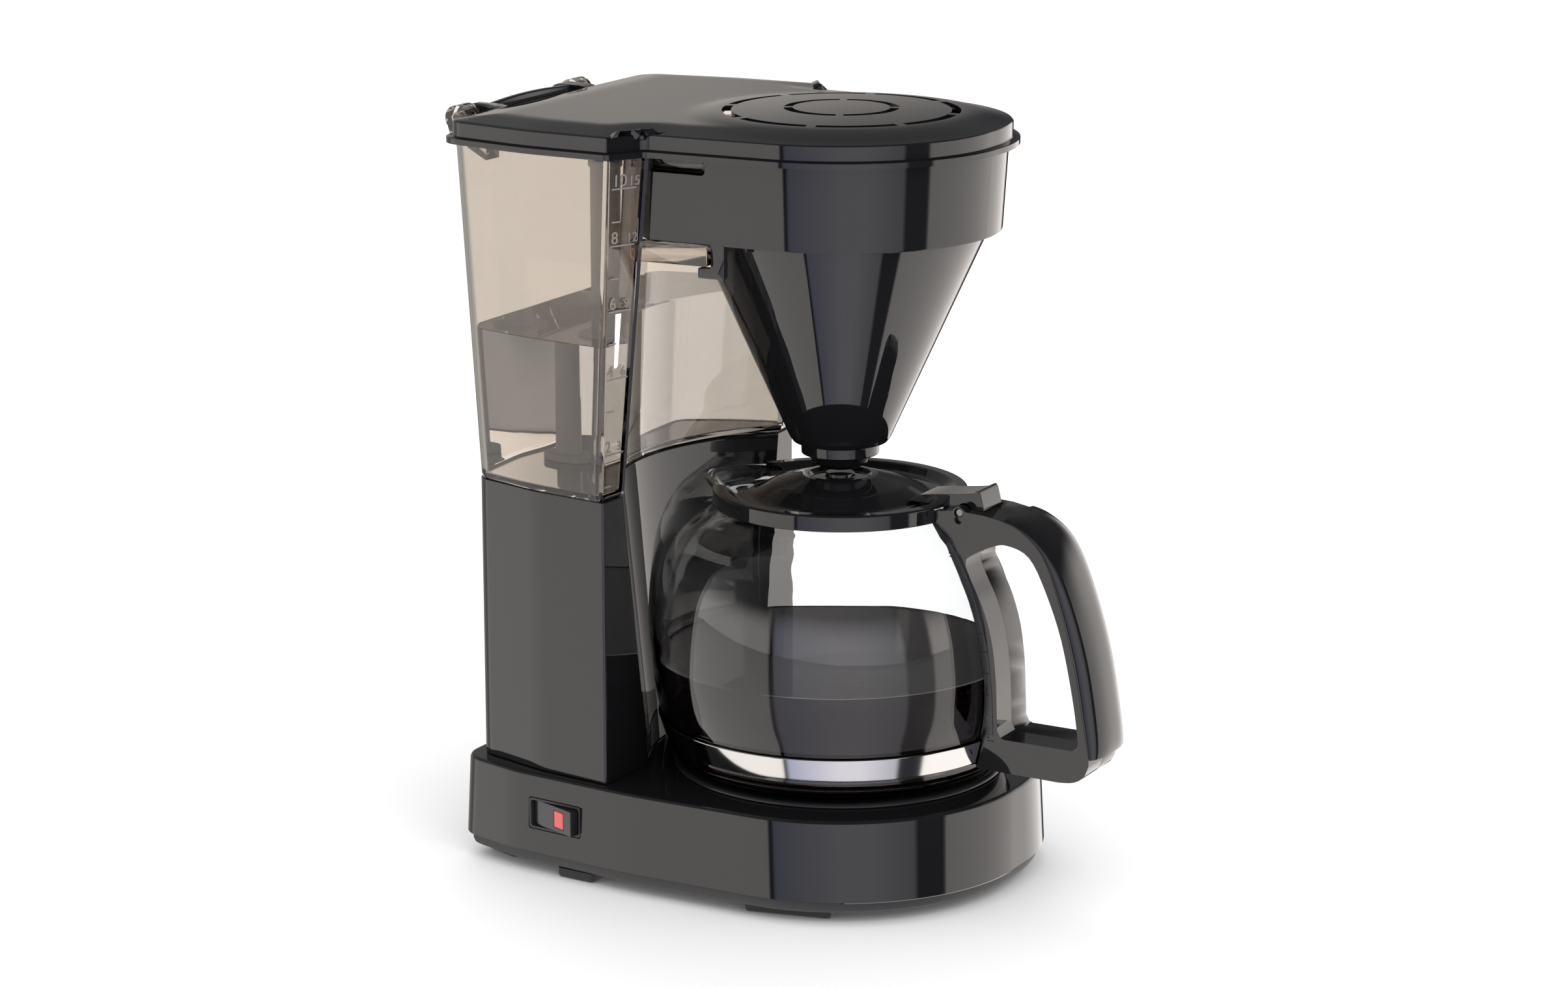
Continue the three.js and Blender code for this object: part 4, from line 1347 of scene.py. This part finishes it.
def dense_counts(points: list[Point], total: int) -> list[int]:
    """How many steps each edge of an outline is cut into, so that there are total in all.

    Args:
        points: the outline.
        total: the wanted number of steps.

    Returns:
        One number for each edge, alike on both sides.
    """
    lengths = [math.dist(a, b) for a, b in zip(points, points[1:] + points[:1])]
    counts = [1] * len(points)
    while sum(counts) < total:
        longest = max(lengths[i] / counts[i] for i in range(len(points)))
        for i, length in enumerate(lengths):
            if length / counts[i] > longest - 1e-3 and sum(counts) < total:
                counts[i] += 1
    return counts


def densely(points: list[Point], counts: list[int]) -> list[Point]:
    """An outline with each edge cut into its number of steps.

    Args:
        points: the outline.
        counts: a number of steps for each edge.

    Returns:
        The points of the cut outline.
    """
    made = []
    for (a, b, n) in zip(points, points[1:] + points[:1], counts):
        made += [(a[0] + (b[0] - a[0]) * k / n, a[1] + (b[1] - a[1]) * k / n) for k in range(n)]
    return made


# ---------------------------------------------------------------- filter basket and drip valve


@dataclass
class Basket:
    """Filter basket: a D-shaped band round a cone."""

    rear: float = 78.4

    def loop(self, z: float, by: float) -> Loop:
        """The band's outline at a height, moved inwards.

        Args:
            z: the height.
            by: how far it is moved.

        Returns:
            The loop.
        """
        t = (z - BAND_LOW) / (TANK_TOP - BAND_LOW)
        front, back = 61 + 2 * t - by, 63 + 1.4 * t - by
        radius = self.rear - by
        rake = (back - front) / 151
        x = front
        for _ in range(4):
            x = front + rake * (math.sqrt(radius ** 2 - x ** 2) + 61)
        limit = math.acos(x / radius)
        rear = [(radius * math.cos(a), radius * math.sin(a))
                for a in (limit + (math.pi - 2 * limit) * k / 40 for k in range(41))]
        nose = [(front - (front - 0.2) * (1 - math.sin(a)), -front + (front - 0.2) * (1 - math.cos(a)))
                for a in (math.pi / 2 * k / 36 for k in range(37))]
        return flat([*nose, *rear, *[(-a, b) for a, b in reversed(nose)]], z)

    def band(self) -> None:
        """The band with its side windows and its slots for the tank's fingers."""
        z0, z1 = BAND_LOW, TANK_TOP
        clay = Clay("basket_band", self.loop(z0 + WALL, WALL))
        clay.pull(self.loop(z0, WALL + 3), self.loop(z0, 0.5), self.loop(z0 + 0.15, 0.12),
                  self.loop(z0 + 0.6, 0),
                  self.loop(z1 - 0.4, 0), self.loop(z1, 0.4), self.loop(z1, WALL),
                  self.loop(z0 + WALL, WALL))
        band = clay.done()
        tools = [box("notch", (-10.5, 60, 272), (10.5, 90, z1 + 2), 1)]
        for side in (-1, 1):
            x0, x1 = sorted((side * 55.6, side * 60.6))
            tools.append(box("slot", (x0, 44, 276.6), (x1, 70, z1 + 2), 0.4))
            x0, x1 = sorted((side * 58, side * 70))
            tools.append(sideways("window", rounded([(23, 277, 1.8, 5), (46.5, 277, 1.8, 5),
                                                     (46.5, 282.6, 1.2, 5),
                                                     (23, 282.6, 1.2, 5)]), x0, x1))
        carve(band, *tools)
        floor = slab("floor", [(p.x / MM, (p.y - AXIS_Y) / MM) for p in self.loop(z0, 1.5)], z0 + 0.02,
                     z0 + WALL,
                     circle(53.5))
        show(soften(joined("basket_band", band, floor), 0, angle=30), GLOSS, Body.BASKET, "filter_basket")

    def cone(self) -> None:
        """The filter cone with its ribs inside."""
        cone = lathe("filter_cone", [
            (10, 168, 0.3, 2), (18.1, 168, 0.6, 4), (19.5, 170, 1.2, 4), (56.3, 251.4, 0.3, 2),
            (53.9, 251.4, 0.3, 2),
            (17.1, 170.2, 1, 3), (10, 170.2, 0.3, 2),
        ], closed=True, steps=128)
        show(soften(cone, 0, angle=35), GLOSS, Body.BASKET)
        rib = sideways("filter_rib_1", [(19.4, 172), (53.0, 247), (52.0, 247), (18.0, 172)], -0.6, 0.6)
        soften(rib, 0.15, 1)
        about = Matrix.Translation(spot(0, 0, 0))
        for k in range(1, 12):
            turned = about @ Matrix.Rotation(math.tau * k / 12, 4, "Z") @ about.inverted()
            show(copied(rib, f"filter_rib_{k + 1}", turned), GLOSS, Body.BASKET)
        show(rib, GLOSS, Body.BASKET)

    def hooks(self) -> None:
        """The hooks that run on the tank's arms."""
        line = rounded([(16, 238.6, 0.8, 3), (27, 238.6, 0.6, 3), (27, 242.5, 0.6, 3), (21.6, 242.5, 0.3, 2),
                        (21.6, 251.6, 0.2, 1), (16, 251.6, 0.2, 1)])
        hook = soften(sideways("basket_hook_right", line, 58.8, 61.6), 0.3, 2)
        show(hook, GLOSS, Body.BASKET)
        show(other_side(hook, "basket_hook_left"), GLOSS, Body.BASKET)

    def valve(self) -> None:
        """The drip stop: body, cap and plunger."""
        body = lathe("drip_stop_body", [
            (5.4, 157.8, 0.2, 1), (7.8, 157.8, 0.6, 4), (10.6, 159.6, 3, 6), (12, 162.8, 0.6, 4),
            (14.9, 163.1, 0.5, 4),
            (15, 167.4, 0.5, 4), (9.6, 167.6, 0.3, 2), (9.6, 169.3, 0.2, 1), (7.7, 169.3, 0.2, 1),
            (7.7, 161, 0.2, 1),
            (5.4, 161, 0.2, 1),
        ], closed=True)
        show(soften(body, 0, angle=40), GLOSS, Body.BASKET, "drip_valve_body")
        cap = lathe("drip_stop_cap", [(3.5, 169.6, 0.2, 1), (9.4, 169.6, 0.3, 2), (9.4, 171.2, 0.4, 3),
                                      (3.5, 171.2, 0.3, 2)], closed=True, steps=64)
        show(soften(cap, 0, angle=40), MATT, Body.BASKET, "drip_valve_cap")
        plunger = lathe("drip_stop_plunger", [
            (0, 157, 0, 1), (4.3, 157, 0.8, 4), (5, 158.4, 0.3, 2), (5, 161.4, 0.2, 1), (7.2, 161.4, 0.2, 1),
            (7.2, 162.6, 0.3, 2), (3.1, 162.6, 0.4, 2), (3.1, 171.8, 0.4, 2), (6.8, 172.2, 0.2, 1),
            (6.8, 173.6, 0.5, 3),
            (0, 174.4, 0, 1),
        ], steps=64)
        show(soften(plunger, 0, angle=40), MATT, Body.VALVE, "valve_plunger")

    def build(self) -> None:
        """Builds the basket."""
        self.band()
        self.cone()
        self.hooks()
        self.valve()


# ---------------------------------------------------------------- carafe

GLASS_OUT = [(0, 43.6), (52, 43.2), (57, 42.4), (62, 43.4), (65.4, 47), (66.9, 52.4), (69.5, 61.2),
             (72, 73), (72.6, 88),
             (70.7, 110), (67, 122.9), (60.8, 132), (52.5, 138), (47.6, 141.6), (45.8, 144.6)]
GLASS_IN = [(43.7, 144), (46, 140.2), (58.8, 130.4), (64.8, 121.8), (68.4, 109.4), (70.2, 88), (69.4, 73),
            (64.4, 52.4), (59, 46), (0, 46)]


def grip_line() -> list[Point]:
    """The outer line of the handle's side, from the top to the tip."""
    return smooth([(-72, 148.2), (-82.2, 144.8), (-91.7, 136), (-98.6, 119.4), (-105.2, 96.4),
                   (-109.9, 71.8),
                   (-112.2, 60)], 40)


@dataclass
class Carafe:
    """Glass, band and coffee of the carafe."""

    rim: float = 148.5
    spout: float = 10.6
    fuller: tuple = ((40, 0.0), (62, 1.8), (88, 3.6), (101, 4.6), (113.5, 6.4), (122, 7.6), (130, 6.6),
                     (141, 0.0))

    def bend(self, co: Vector) -> Vector:
        """Makes the shoulder fuller towards the spout, at +Y, and draws the rim out into it.

        Args:
            co: a point of the round jug, in metres.

        Returns:
            Where it goes.
        """
        x, y, z = co.x / MM, (co.y - AXIS_Y) / MM, co.z / MM
        radius = math.hypot(x, y)
        if radius < 20:
            return co
        off = math.atan2(x, y)
        cut = 0.0
        for (z0, a), (z1, b) in zip(self.fuller, self.fuller[1:]):
            if z0 <= z < z1:
                cut = a + (b - a) * (z - z0) / (z1 - z0)
        t = max(0.0, (z - 137.0) / (self.rim - 137.0))
        share = math.exp(-(off / 0.36) ** 2)
        out = self.spout * share * t ** 1.6 - cut * (1 - math.cos(off)) / 2
        return spot(x * (radius + out) / radius, y * (radius + out) / radius, z + 0.6 * share * t)

    def bent(self, piece: bpy.types.Object) -> bpy.types.Object:
        """A turned piece with its mesh bent like the glass.

        Args:
            piece: the turned piece.

        Returns:
            The same piece.
        """
        for vert in piece.data.vertices:
            vert.co = self.bend(vert.co)
        return piece

    def glass(self) -> None:
        """The jug with a rolled rim and a drawn spout."""
        outer = smooth(GLASS_OUT, 70)
        inner = smooth(GLASS_IN, 60)
        lip = [(45.9, 146), (46.5, 146.9), (46.9, 147.9), (46.4, 148.8), (45.3, 149.1), (44.2, 148.7),
               (43.7, 147.6)]
        profile = [(r, z, 0, 1) for r, z in [*outer, *lip, *inner]]
        jug = self.bent(lathe("jug_glass", profile, steps=160))
        show(soften(jug, 0, angle=60), GLASS, Body.CARAFE, "carafe_glass")

    def coffee(self) -> None:
        """The coffee, against the glass, with a slight meniscus."""
        inside = [(r - 0.12, z + 0.1) for r, z in reversed(smooth(GLASS_IN,
                                                                  120)) if z < COFFEE_LEVEL - 0.6 and r > 0.2]
        profile = [(0, 46.1, 0, 1), *[(r, z, 0, 1) for r, z in inside], (70.1, COFFEE_LEVEL, 0, 1),
                   (69.2, COFFEE_LEVEL - 0.15, 0, 1), (67.5, COFFEE_LEVEL - 0.4, 0, 1),
                   (0, COFFEE_LEVEL - 0.4, 0, 1)]
        show(soften(self.bent(lathe("jug_coffee", profile, steps=160)), 0, angle=30), COFFEE, Body.CARAFE)

    def band(self) -> None:
        """The bright steel band."""
        band = lathe("jug_band", [(67.1, 52.4, 0.2, 1), (67.9, 52.2, 0.3, 3), (70.6, 61.0, 0.3, 3),
                                  (69.8, 61.4, 0.2, 1)],
                     closed=True, steps=160)
        show(soften(self.bent(band), 0, angle=40), STEEL, Body.CARAFE, "carafe_band")

    def build(self) -> None:
        """Builds the jug."""
        self.glass()
        self.coffee()
        self.band()


@dataclass
class Handle:
    """Carafe handle: two moulded halves, a grip cover and level marks."""

    jug: Carafe
    half: float = 12.8
    pin: tuple = JUG_PIN
    levels: tuple = ((132.5, "12"), (112.5, "8"), (97.3, "6"), (80.5, "4"), (62.5, "2"))

    def body_outline(self) -> list[Point]:
        """Outer line of the handle's side."""
        hump = [(-57 + 2.7 * math.cos(math.radians(a)), 148.4 + 2.5 * math.sin(math.radians(a)))
                for a in range(20, 161, 20)]
        return [(-38, 139.6), (-40.5, 142), (-44.1, 146), (-45.3, 148), *hump, (-67.5, 148.8),
                *grip_line()[2:], *smooth([(-112.2, 57.6), (-110.2, 53), (-106, 50.3), (-100, 49.5)], 8),
                (-66, 50), (-60, 62), (-55, 118)]

    def opening(self) -> list[Point]:
        """The opening for the fingers."""
        return [
            *smooth([(-60.4, 131), (-62.4, 132.8), (-70.9, 137.2), (-77.5, 138.4), (-86.3, 134.9),
                     (-93.2, 123), (-100.2, 104.6),
                     (-105.4, 81.4), (-107.7, 66)], 32),
            (-107.2, 63.6), (-105.4, 62.6), (-76.9, 62.8), (-75.6, 63.4),
            *smooth([(-74.2, 66), (-73.9, 74), (-73.3, 86.8), (-71.3, 101.2), (-67.4, 113.5), (-62.8, 122.6),
                     (-60.2, 128.6)], 20),
        ]

    def halves(self) -> None:
        """The two halves, parted down the middle, cut to the glass and the band."""
        side = sideways("handle_half_left", self.body_outline(), -self.half, -0.06, self.opening())
        neck = [(0, 42, 0, 1), *[(r + 0.35, z, 0, 1) for r, z in smooth(GLASS_OUT[1:-2], 60)],
                (47.4, 144, 0, 1),
                (47.4, 156, 0, 1), (0, 156, 0, 1)]
        ring = [(0, 51.6, 0, 1), (68.4, 51.8, 0, 1), (71.2, 61.8, 0, 1), (0, 61.8, 0, 1)]
        slot = box("slot", (-8.3, -65.9, 143.6), (8.3, -44, 158))
        y, z, r = self.pin
        tools = [self.jug.bent(lathe(name, line, steps=160)) for name,
                 line in (("neck", neck), ("ring", ring))]
        hole = sideways("hole", [(y + 1.7 * math.cos(a), z - 2.6 + 1.7 * math.sin(a))
                                 for a in (math.tau * k / 20 for k in range(20))], -20, -11.2)
        carve(side, *tools, slot, axle("bore", r + 0.3, -30, 30, y, z, 0.1), hole)
        soften(side, 0.55, 3, 34)
        show(side, GLOSS, Body.CARAFE, "carafe_handle")
        show(other_side(side, "handle_half_right"), GLOSS, Body.CARAFE)
        reach = self.half - 0.7
        show(soften(axle("lid_hinge_pin", r, -reach, reach, y, z), 0, angle=40), PIN, Body.CARAFE,
             "carafe_lid_pin")

    def grip(self) -> None:
        """The swelling outer shell of the grip, open and hollow at its bottom."""
        line = grip_line()[3:]
        count = len(line) - 1

        def section(i: int, thin: float) -> Loop:
            """The shell's section at a point of its line, thinned for the inner skin."""
            (y, z), (ay, az), (by, bz) = line[i], line[max(0, i - 1)], line[min(count, i + 1)]
            length = math.hypot(by - ay, bz - az)
            ny, nz = (bz - az) / length, -(by - ay) / length
            t = i / count
            swell = 1.5 + 5.0 * math.sin(math.pi * (0.7 * t + 0.1 * t ** 6)) - thin
            wide = self.half + 0.4 - thin
            points = []
            for k in range(25):
                a = math.pi * k / 24
                out = 0.35 + swell * math.sin(a) ** 0.75
                points.append(spot(wide * math.copysign(abs(math.cos(a)) ** 0.8, math.cos(a)), y + ny * out,
                                   z + nz * out))
            return points

        clay = Clay("grip_shell", section(0, 0.0)).cap()
        clay.pull(*[section(i, 0.0) for i in range(1, count + 1)])
        clay.pull(section(count, 0.9), *[section(i, 1.2) for i in range(count - 1, count - 9, -1)]).cap()
        show(soften(clay.done(), 0, angle=40), GLOSS, Body.CARAFE, "grip_cover")

    def scale(self) -> None:
        """The marked strip beside the glass, with its figures."""
        inner = smooth([(-51.8, 136), (-57.6, 124), (-62.4, 112.8), (-66.5, 98.7), (-68.7, 82.5),
                        (-69.3, 67.8),
                        (-69.4, 64)], 30)
        edge = smooth([(-53.6, 137), (-60.3, 126), (-64.8, 114.5), (-69.1, 100), (-71.5, 84), (-72.4, 70),
                       (-72.5, 64)], 30)
        strip = [*edge, *reversed(inner)]
        plate = sideways("level_strip", strip, -self.half - 0.25, -self.half + 0.3)
        show(soften(plate, 0.15, 2), SATIN, Body.CARAFE)
        made = []
        for z, words in self.levels:
            y = min(edge, key=lambda p: abs(p[1] - z))[0]
            figure = lettering(words, 2.6, 0.2)
            turn = Matrix(((0, 0, -1, 0), (-1, 0, 0, 0), (0, 1, 0, 0), (0, 0, 0, 1)))
            figure.data.transform(Matrix.Translation(spot(-self.half - 0.2, y + 3.4, z)) @ turn)
            made.append(figure)
            for dz in (0.0, -8.4):
                ty = min(edge, key=lambda p: abs(p[1] - z - dz))[0]
                tick = box("tick", (-self.half - 0.4, ty, z + dz - 1.2),
                           (-self.half - 0.1, ty + 2.6, z + dz - 0.8))
                made.append(tick)
        show(joined("level_marks", *made), GLOSS, Body.CARAFE)

    def screw(self) -> None:
        """The screw that clamps the handle to the band."""
        head = axle("clamp_screw", 3.8, -1.1, 1.1, -80.5, 56.4, 0.4)
        about = spot(0, -80.5, 56.4)
        head.data.transform(Matrix.Translation(about) @ Matrix.Rotation(math.pi / 2, 4,
                                                                        "Z") @ Matrix.Translation(-about))
        show(soften(head, 0, angle=40), STEEL, Body.CARAFE, "carafe_handle_screw")

    def build(self) -> None:
        """Builds the handle."""
        self.halves()
        self.grip()
        self.scale()
        self.screw()


@dataclass
class CarafeLid:
    """Lid of the carafe: a dished cap with a dome, a crater and a thumb lever."""

    pin: tuple = JUG_PIN

    def cap(self) -> None:
        """The cap, cut away at the spout and over the handle."""
        cap = lathe("jug_lid", [
            (0, 151.6, 0, 1), (12, 152, 3, 4), (27.5, 148.4, 3, 4), (35, 145.6, 2, 4), (41.6, 145.6, 1, 3),
            (42.8, 148.6, 0.5, 3), (47.4, 148.6, 0.4, 2), (47.4, 143.7, 0.2, 1), (49.2, 143.7, 0.4, 3),
            (49, 149.9, 0.9, 6), (44.2, 149.9, 2.4, 6), (40.2, 147.3, 3, 6), (34, 147.5, 6, 6),
            (26, 151.6, 16, 8),
            (14.6, 154.8, 3, 6), (12.2, 155.0, 0.6, 5), (10.4, 153.6, 0.8, 4), (5.6, 153.6, 0.5, 3),
            (5.4, 155.4, 0.4, 4),
            (0, 155.5, 0, 1),
        ], steps=144)
        spout = box("spout", (-21, 33, 140), (21, 60, 160), 2)
        handle = box("handle", (-13.4, -60, 140), (13.4, -44, 148.9))
        carve(cap, spout, handle)
        show(soften(cap, 0, angle=38), GLOSS, Body.CARAFE_LID, "carafe_lid")

    def lever(self) -> None:
        """The thumb lever and the boss round its pin."""
        line = [(-32, 149.4), *smooth([(-34, 150.3), (-37.2, 152.1), (-43, 153.2), (-49.5, 153.9),
                                       (-56, 154.7),
                                       (-61, 155.5)], 12), (-61.8, 156.5), (-62.8, 156.6), (-63.6, 155.6),
                                       (-64.9, 150.5),
                (-64.9, 147.6), (-61, 146.2), (-52, 146.2), (-48.2, 147.6), (-47.9, 149.4)]
        lever = sideways("thumb_lever", line, -7.7, 7.7)
        y, z, r = self.pin
        carve(lever, axle("bore", r + 0.3, -30, 30, y, z, 0.1))
        show(soften(lever, 0.8, 4, 40), GLOSS, Body.CARAFE_LID)
        boss = axle("lever_boss", 3.2, -7.7, 7.7, y, z, 0.4)
        carve(boss, axle("bore", r + 0.3, -30, 30, y, z, 0.1))
        show(soften(boss, 0, angle=40), GLOSS, Body.CARAFE_LID)

    def build(self) -> None:
        """Builds the carafe's lid."""
        self.cap()
        self.lever()


# ---------------------------------------------------------------- water path and hidden works


@dataclass
class WaterPath:
    """Riser tube in the tank; the rest keeps its CAD shape, the outlet over the filter too."""

    kept: tuple = (
        (ZINC, ("base_screw_1", "base_screw_2", "base_screw_3", "base_screw_4", "heater_bracket",
                "heater_screw",
                "thermal_fuse", "thermal_fuse_clip", "valve_spring")),
        (CAST, ("heater_element",)),
        (GREY, ("thermostat", "check_valve", "switch_body")),
        (SILICONE, ("inlet_hose", "riser_hose", "riser_seal")),
        (RUBBER, ("cord_gland",)),
        (BROWN, ("wire_live", "wire_switched")),
        (BLUE, ("wire_neutral",)),
        (MATT, ("water_outlet",)),
    )

    def riser(self) -> None:
        """The riser tube, with a rib below its head."""
        z0, z1, y = low("riser_tube"), top("riser_tube"), 104
        tube = lathe("riser_pipe", [
            (4.1, z0, 0, 1), (5.5, z0, 0.3, 2), (5.5, z1 - 14, 0.2, 1), (6.3, z1 - 13.4, 0.3, 2),
            (6.3, z1 - 11.4, 0.3, 2),
            (5.5, z1 - 10.8, 0.2, 1), (5.5, z1, 0.3, 2), (4.1, z1, 0.2, 1),
        ], 0, y, closed=True, steps=48)
        show(soften(tube, 0, angle=40), MILKY, Body.BASE, "riser_tube")

    def dress(self) -> None:
        """Gives each CAD node that stays its finish."""
        for finish, nodes in self.kept:
            for name in nodes:
                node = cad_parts[name]
                node.data.materials.clear()
                node.data.materials.append(finish.material())
                log.info("%-24s keeps its CAD shape, %s", name, finish.slot)

    def build(self) -> None:
        """Builds the water path."""
        self.riser()
        self.dress()


# ---------------------------------------------------------------- studio


@dataclass
class Studio:
    """Camera, floor, lamps and surroundings."""

    eye: tuple = (-1.3319, -0.72155, 0.5167)
    tilt: tuple = (76.21, 0.0, -61.24)
    lens: float = 92.78
    sensor: float = 36.0

    def camera(self) -> None:
        """The camera."""
        bpy.ops.object.camera_add(location=self.eye, rotation=[math.radians(a) for a in self.tilt])
        camera = bpy.context.object
        camera.name = "main_camera"
        camera.data.lens = self.lens
        camera.data.sensor_width = self.sensor
        camera.data.sensor_fit = "HORIZONTAL"
        camera.data.clip_end = 50
        bpy.context.scene.camera = camera

    def floor(self) -> None:
        """A pale floor that the mirror-like surfaces don't show."""
        bpy.ops.mesh.primitive_plane_add(size=12, location=(0, 0, -0.0002))
        floor = bpy.context.object
        floor.name = "studio_floor"
        floor.visible_glossy = False
        material = bpy.data.materials.new("studio_floor")
        material.use_nodes = True
        sheet = Sheet(material.node_tree)
        tone = sheet.blend(sheet.noise(3), (0.93, 0.93, 0.93), (0.96, 0.96, 0.96))
        shader = sheet.node("BsdfPrincipled", {}, {"Base Color": tone, "Roughness": 0.9,
                                                   "Specular IOR Level": 0.0})
        sheet.node("OutputMaterial", {}, {"Surface": shader})
        floor.data.materials.append(material)

    def lamp(self, name: str, at: tuple, size: float, power: float) -> None:
        """A soft square lamp that looks at the machine.

        Args:
            name: its name.
            at: where it hangs.
            size: its side in metres.
            power: in watts.
        """
        bpy.ops.object.light_add(type="AREA", location=at)
        lamp = bpy.context.object
        lamp.name = name
        lamp.data.size = size
        lamp.data.energy = power
        lamp.rotation_euler = (Vector((0, 0, 0.12)) - Vector(at)).to_track_quat("-Z", "Y").to_euler()
        lamp.visible_glossy = False
        lamp.visible_camera = False
        lamp.visible_transmission = False

    def world(self) -> None:
        """A white room whose reflection is a ring of grey cards with dark gaps."""
        world = bpy.data.worlds.new("studio")
        bpy.context.scene.world = world
        world.use_nodes = True
        sheet = Sheet(world.node_tree)
        way = sheet.node("TexCoord").take("Generated")
        parts = sheet.node("SeparateXYZ", {}, {0: way})
        x, y, z = (parts.take(axis) for axis in "XYZ")
        turn = sheet.node("Math", {"operation": "ARCTAN2"}, {0: y, 1: x}) * (1 / math.tau)
        turn = sheet.node("Math", {"operation": "FRACT"}, {0: turn + 1.0})
        taupe, blue_low, mid, blue_high, dark = ((2.15, 2.03, 1.95), (0.8, 0.84, 1.1), (1.45, 1.4, 1.52),
                                                 (0.95, 0.95, 1.05), (0.05, 0.05, 0.06))
        rear = (0.5, 0.47, 0.44)
        left = (1.85, 1.77, 1.7)
        top_value = 2.5

        def at(degrees: float) -> float:
            """A place round the ring."""
            return degrees / 360

        def tone(colour: tuple) -> tuple:
            """A colour as a share of the brightest card."""
            return tuple(c / top_value for c in colour)

        stops = [(0, tone(taupe)), (at(6), tone(taupe)), (at(12), tone(dark)), (at(22), tone(dark)),
                 (at(30), tone(rear)),
                 (at(92), tone(rear)), (at(104), tone(left)), (at(166), tone(left)), (at(167), tone(dark)),
                 (at(169), tone(dark)), (at(170.5), tone(blue_low)), (at(208), tone(mid)),
                 (at(226), tone(mid)),
                 (at(252), tone(blue_high)), (at(254), tone(dark)), (at(271), tone(dark)),
                 (at(273), tone(taupe)),
                 (1, tone(taupe))]
        ring = sheet.node("ValToRGB", {"stops": stops}, {0: turn})
        above = sheet.node("ValToRGB", {"stops": [(0.0, 0.03), (0.3, 0.14), (0.5, 0.03), (0.75, 0.02),
                                                  (1.0, 0.03)]},
                           {0: turn})
        rise = sheet.node("MapRange", {"interpolation_type": "SMOOTHSTEP"}, {0: z, 1: 0.1, 2: 0.42})
        cards = sheet.node("Mix", {"data_type": "RGBA"}, {0: rise, 6: ring, 7: above})
        cards = Wire(sheet, cards.socket.node.outputs[2])
        mirror = sheet.node("LightPath").take("Glossy Depth").above(0.5)
        room = sheet.node("Background", {}, {"Color": (1, 1, 1, 1), "Strength": 1.12})
        seen = sheet.node("Background", {}, {"Color": cards, "Strength": top_value})
        mixed = sheet.node("MixShader", {}, {0: mirror, 1: room, 2: seen})
        sheet.node("OutputWorld", {}, {"Surface": mixed})

    def build(self) -> None:
        """Sets the studio up."""
        self.camera()
        self.floor()
        self.world()
        self.lamp("key_lamp", (-1.2, -1.6, 1.9), 1.6, 15)
        self.lamp("rear_lamp", (1.4, 1.3, 1.8), 1.4, 9)
        bpy.context.scene.view_settings.view_transform = "Standard"


def main() -> None:
    """Builds the machine piece by piece."""
    for assembly in (Studio(), Base(), Switch(), Tower(), Tank(), Lid(), Basket(), jug := Carafe(),
                     Handle(jug), CarafeLid(),
                     WaterPath()):
        log.info("-- %s", type(assembly).__name__)
        assembly.build()
    fresh()


if __name__ == "__main__":
    main()
